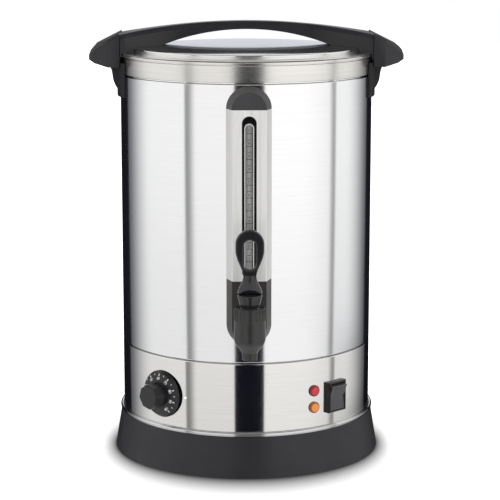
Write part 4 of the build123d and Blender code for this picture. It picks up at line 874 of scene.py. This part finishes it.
radii = [wall_radius * k / dome_steps for k in range(dome_steps)]
top = [(radius, dome(radius)) for radius in radii]
under = [(r, z - lid_sheet) for r, z in reversed(top[:-1])]
flange_top = flange_low + lid_sheet
under_cut = 4.0  # how far in the flange's lifted rim reaches
pan = rounded(top + [
    (wall_radius, shoulder, 1.0), (wall_radius, flange_top, 0.6),
    (flange_radius, flange_top, 0.25), (flange_radius, flange_low + 0.45, 0.1),
    (flange_radius - under_cut, flange_low), (wall_radius - lid_sheet, flange_low),
    (wall_radius - lid_sheet, shoulder - lid_sheet, 0.5),
] + under)
piece("lid_pressing", turned(pan), "lid", "lid_steel", stands_for=["lid_pan"])
print("lid: dome", round(crown - shoulder, 1), "mm")

# %% [markdown]
# ## The moulded pieces
# Handles, gauge covers, dial, switch and inlet keep the frame's shape with softened edges. Bevelling
# only the sharp edges leaves the flat faces flat, and weighted normals keep them looking flat.

# %% The moulded pieces
def moulded(name, node, width, body, slot, look=None):
    """Makes the piece that stands for a moulded node, with its edges rolled over by width (mm)."""
    piece(name, softened(node, width), body, slot, stands_for=[node], weighted=True, look=look)
    print("moulded:", name)


moulded("arch", "lid_handle", 0.9, "lid", "handle_plastic")
moulded("grip_left", "side_handle_left", 0.7, "root", "handle_plastic")
moulded("grip_right", "side_handle_right", 0.7, "root", "handle_plastic")
moulded("cap_cover", "gauge_cap", 0.6, "root", "gauge_plastic", look="cap_plastic")
moulded("tap_shroud", "lower_shroud", 0.6, "root", "gauge_plastic")
moulded("switch_frame", "switch_housing", 0.5, "root", "switch_plastic")
moulded("dial", "dial_knob", 0.3, "thermostat_knob", "dial_plastic")
moulded("inlet_flange", "power_inlet", 0.5, "root", "inlet_plastic")
moulded("switch_key", "switch_rocker", 0.6, "switch_rocker", "switch_plastic", look="key_plastic")

# %% [markdown]
# ## The sight gauge
# The channel is folded from brushed sheet, so its two front corners are bends, not edges. A black
# moulded liner frames the slot, and the clear tube stands in it before a pale scale.

# %% The gauge channel and its liner
channel_front = -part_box("gauge_channel")[0].y / MM
bend_beside = 12.0  # the bends lie further out than this, and no deeper than bend_depth
bend_depth = 2.0
bend_middle, bend_half = 287, 60  # an edge along a bend has its middle about this high


def at_a_bend(middle):
    """Whether an edge's middle lies on one of the channel's two front bends."""
    in_front = abs(middle.x) > bend_beside and middle.y < -channel_front + bend_depth
    return in_front and abs(middle.z - bend_middle) < bend_half


piece(
    "folded_channel", softened("gauge_channel", 1.5, segments=5, chosen=at_a_bend), "root",
    "channel_steel", stands_for=["gauge_channel"], weighted=True,
)
slot_low, slot_high = (corner.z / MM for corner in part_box("gauge_liner"))
slot_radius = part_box("gauge_liner")[1].x / MM
bay_radius = 5.0
bay_depth = 8.0
bay_high = slot_high - 6.8
bay_low = slot_low + 2.2
end_steps = 16


def stadium(low, high, radius):
    """The outline of an upright slot with round ends, as (x, z) points."""
    ends = [(high - radius, 0.0), (low + radius, pi)]
    shares = [k / end_steps for k in range(end_steps + 1)]
    turns = [(level, start + pi * share) for level, start in ends for share in shares]
    return [(radius * cos(turn), level + radius * sin(turn)) for level, turn in turns]


def upright_ring(bm, outline, reach):
    """New corners along an outline of (x, z) points in mm, at a reach towards the front."""
    return [bm.verts.new((x * MM, -reach * MM, z * MM)) for x, z in outline]


def slot_frame(levels):
    """Rings of a slot, each (outline, reach), joined one after the other; the new bmesh."""
    bm = bmesh.new()
    rings = [upright_ring(bm, *level) for level in levels]
    for here, there in zip(rings, rings[1:] + rings[:1]):
        wall_between(bm, here, there)
    bmesh.ops.recalc_face_normals(bm, faces=bm.faces)
    return bm


outer = stadium(slot_low, slot_high, slot_radius)
outer_edge = stadium(slot_low + 0.3, slot_high - 0.3, slot_radius - 0.3)
bay = stadium(bay_low, bay_high, bay_radius)
bay_edge = stadium(bay_low - 0.5, bay_high + 0.5, bay_radius + 0.5)
liner = slot_frame([
    (outer, channel_front - bay_depth), (outer, channel_front - 0.1), (outer_edge, channel_front),
    (bay_edge, channel_front), (bay, channel_front - 0.6), (bay, channel_front - bay_depth),
])
piece("slot_liner", liner, "root", "gauge_plastic", stands_for=["gauge_liner"], look="liner_plastic")
print("gauge: slot", round(slot_high - slot_low, 1), "mm tall")

# %% [markdown]
# Behind the clear tube stands a pale strip, so that the water's edge shows. A clear window in
# front of the tube carries the scale: it has a milled white edge, a line every few millimetres and
# a plain number over every second line. Printed marks are thin raised meshes here, because a
# texture of them would have to be an image.

# %% The window
tube_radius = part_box("sight_tube")[1].x / MM
tube_reach = -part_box("sight_tube")[0].y / MM - tube_radius
window_half = bay_radius - 0.25
window_low, window_high = bay_low + 0.3, bay_high - 0.3
window_front = channel_front - 1.1
window_back = tube_reach + tube_radius + 0.3
edge_width = 0.9
edge_bevel = 0.2


def outline_plate(outline, front, back):
    """A flat plate with this outline of (x, z) points, between two reaches; the new bmesh."""
    bm = bmesh.new()
    near = upright_ring(bm, outline, front)
    far = upright_ring(bm, outline, back)
    bm.faces.new(near)
    bm.faces.new(far)
    wall_between(bm, near, far)
    bmesh.ops.recalc_face_normals(bm, faces=bm.faces)
    return bm


def grown(radius_change):
    """The window's outline, made larger or smaller all round."""
    return stadium(window_low - radius_change, window_high + radius_change, window_half + radius_change)


# The pale strip's finish carries a painted glow.
strip = outline_plate(grown(-0.3), tube_reach - tube_radius - 0.3, body_radius + 0.5)
piece("pale_strip", strip, "root", "scale_back")
# The window's white edge carries a painted glow.
rim = slot_frame([
    (grown(0.0), window_back), (grown(0.0), window_front - edge_bevel),
    (grown(-edge_bevel), window_front), (grown(edge_bevel - edge_width), window_front),
    (grown(-edge_width), window_front - edge_bevel), (grown(-edge_width), window_back),
])
piece("window_edge", rim, "root", "scale_print")
print("window:", round(2 * window_half, 1), "mm wide")

# %% The scale's lines and numbers
scale_pitch = 6.3
scale_first, scale_last = window_low + 14.0, window_high - 8
long_mark, short_mark = 5.6, 3.2
mark_height, mark_depth = 0.45, 0.2
mark_reach = window_back + 0.15
number_size, number_rise = 3.4, 2.9
figure_depth = 0.12


def written(text, size, seat):
    """Plain upright figures as a thin raised mesh on a seat in mm, whose z looks outwards."""
    curve = bpy.data.curves.new("figures", "FONT")
    curve.body = text
    curve.size = size
    curve.extrude = figure_depth / 2
    curve.align_x = "CENTER"
    curve.align_y = "CENTER"
    shape = bpy.data.objects.new("figures", curve)
    mesh = bpy.data.meshes.new_from_object(shape)
    bm = bmesh.new()
    bm.from_mesh(mesh)
    bpy.data.objects.remove(shape)
    bpy.data.curves.remove(curve)
    bpy.data.meshes.remove(mesh)
    bmesh.ops.remove_doubles(bm, verts=bm.verts, dist=1e-5)
    to_metres = Matrix.Diagonal((MM, MM, MM, 1.0))
    bmesh.ops.transform(bm, matrix=to_metres @ seat, verts=bm.verts)
    return bm


def block(width, height, depth, seat):
    """A small printed bar on a seat in mm."""
    bm = bmesh.new()
    bmesh.ops.create_cube(bm, size=1.0, matrix=seat @ Matrix.Diagonal((width, height, depth, 1.0)))
    bmesh.ops.scale(bm, vec=(MM, MM, MM), verts=bm.verts)
    return bm


def joined(parts):
    """Several bmeshes as one."""
    whole = bmesh.new()
    for part in parts:
        mesh = bpy.data.meshes.new("part")
        part.to_mesh(mesh)
        part.free()
        whole.from_mesh(mesh)
        bpy.data.meshes.remove(mesh)
    return whole


marks = []
count = int((scale_last - scale_first) / scale_pitch) + 1
for k in range(count):
    level = scale_first + k * scale_pitch
    long_line = k % 2 == 0
    seat = panel(0, level, mark_reach)
    marks.append(block(long_mark if long_line else short_mark, mark_height, mark_depth, seat))
    if long_line:
        number_seat = panel(0, level + number_rise, mark_reach)
        marks.append(written(str(k // 2 + 1), number_size, number_seat))
piece("scale_marks", joined(marks), "root", "scale_ink")
window = outline_plate(grown(-edge_width - 0.02), window_back + 0.9, window_back + 0.3)
piece("clear_window", window, "root", "clear_tube")
print("scale:", count, "lines")

# %% [markdown]
# ## The tap
# The tap is a moulded barrel under a screwed bonnet, with a lever that tips on it. The lever's
# edges are rolled a little more than the panel's, because hands are on it all day.

# %% The tap
moulded("tap_handle", "tap_lever", 0.7, "tap_lever", "tap_plastic")
moulded("tap_cap", "tap_bonnet", 0.5, "root", "tap_plastic")

# %% [markdown]
# ## The control panel
# The dial's cone carries white lines at its rim and plain numbers inside them. They are set round
# the cone by a loop, each leaning with its slope. A white dot on the casing is what they are read
# against.

# %% The dial's figures and its dot
dial_azimuth = -42.0  # degrees, to the left of the front
dial_level = middle_height("dial_knob")
cone_foot_radius, cone_foot_reach = 22.0, body_radius + 4.2
cone_top_radius, cone_top_reach = 13.8, body_radius + 7.3
cone_lean = atan2(cone_top_reach - cone_foot_reach, cone_foot_radius - cone_top_radius)
dial_numbers = 8
dial_start, dial_sweep = -140.0, 280.0
bold_line = (0.75, 2.6, 20.2)  # width, length and radius on the cone
thin_line = (0.5, 1.6, 20.7)
line_depth, figure_lift = 0.15, 0.05
figure_size, figure_radius = 3.8, 16.8
first_number, number_step = 30, 10  # in degrees Celsius
dot_azimuth, dot_drop = -29.3, 0.4
dot_radius, dot_height, dot_sink = 1.3, 0.35, 0.05


def on_cone(turn, radius):
    """A seat on the dial's cone: its y points to the rim, its z out of the cone."""
    share = (cone_foot_radius - radius) / (cone_foot_radius - cone_top_radius)
    reach = cone_foot_reach + share * (cone_top_reach - cone_foot_reach)
    spin = Matrix.Rotation(radians(-turn), 4, "Z")
    lean = Matrix.Rotation(-cone_lean, 4, "X")
    seat = panel(dial_azimuth, dial_level, reach)
    to_rim = Matrix.Translation((0, radius, 0))
    lift = Matrix.Translation((0, 0, figure_lift))
    return seat @ spin @ to_rim @ lean @ lift


figures = []
for k in range(2 * dial_numbers + 1):
    turn = dial_start + dial_sweep * k / (2 * dial_numbers)
    bold = k % 2 == 0
    width, length, radius = bold_line if bold else thin_line
    figures.append(block(width, length, line_depth, on_cone(turn, radius)))
    if bold and k:
        number = first_number + number_step * (k // 2 - 1)
        figures.append(written(str(number), figure_size, on_cone(turn, figure_radius)))
piece("dial_figures", joined(figures), "thermostat_knob", "dial_print")

# The dot's finish carries a painted glow.
dot = rounded([(0, 0), (dot_radius, 0), (dot_radius, dot_height, 0.15), (0, dot_height)])
dot_seat = panel(dot_azimuth, dial_level - dot_drop, body_radius - dot_sink)
piece("index_dot", turned(dot, 24, dot_seat), "root", "dot_print")
print("dial:", dial_numbers, "numbers")

# %% [markdown]
# The lamps are nearly flat lenses with a stepped rim. Their finish carries a painted glow in each lens's
# middle and painted shade that darkens it from the step outwards.

# %% The lamps
lamp_radius = 5.9
lamp_reach = body_radius + 0.3
barrel_radius, barrel_depth = 4.2, 5.0  # of the part inside the casing
rim_height, step_height, lens_height = 1.2, 1.5, 2.95
lens = rounded([
    (0, -barrel_depth), (barrel_radius, -barrel_depth), (barrel_radius, 0), (lamp_radius, 0),
    (lamp_radius, rim_height, 0.5), (lamp_radius - 1.1, step_height, 0.3),
    (lamp_radius - 1.6, 2.6, 0.7), (0, lens_height),
])
for name, node, slot in (
    ("red_lamp", "red_lens", "red_glass"),
    ("amber_lamp", "amber_lens", "amber_glass"),
):
    lamp_seat = panel(lamp_azimuth, middle_height(node), lamp_reach)
    piece(name, turned(lens, 64, lamp_seat), "root", slot, stands_for=[node])
print("lamps: two lenses")
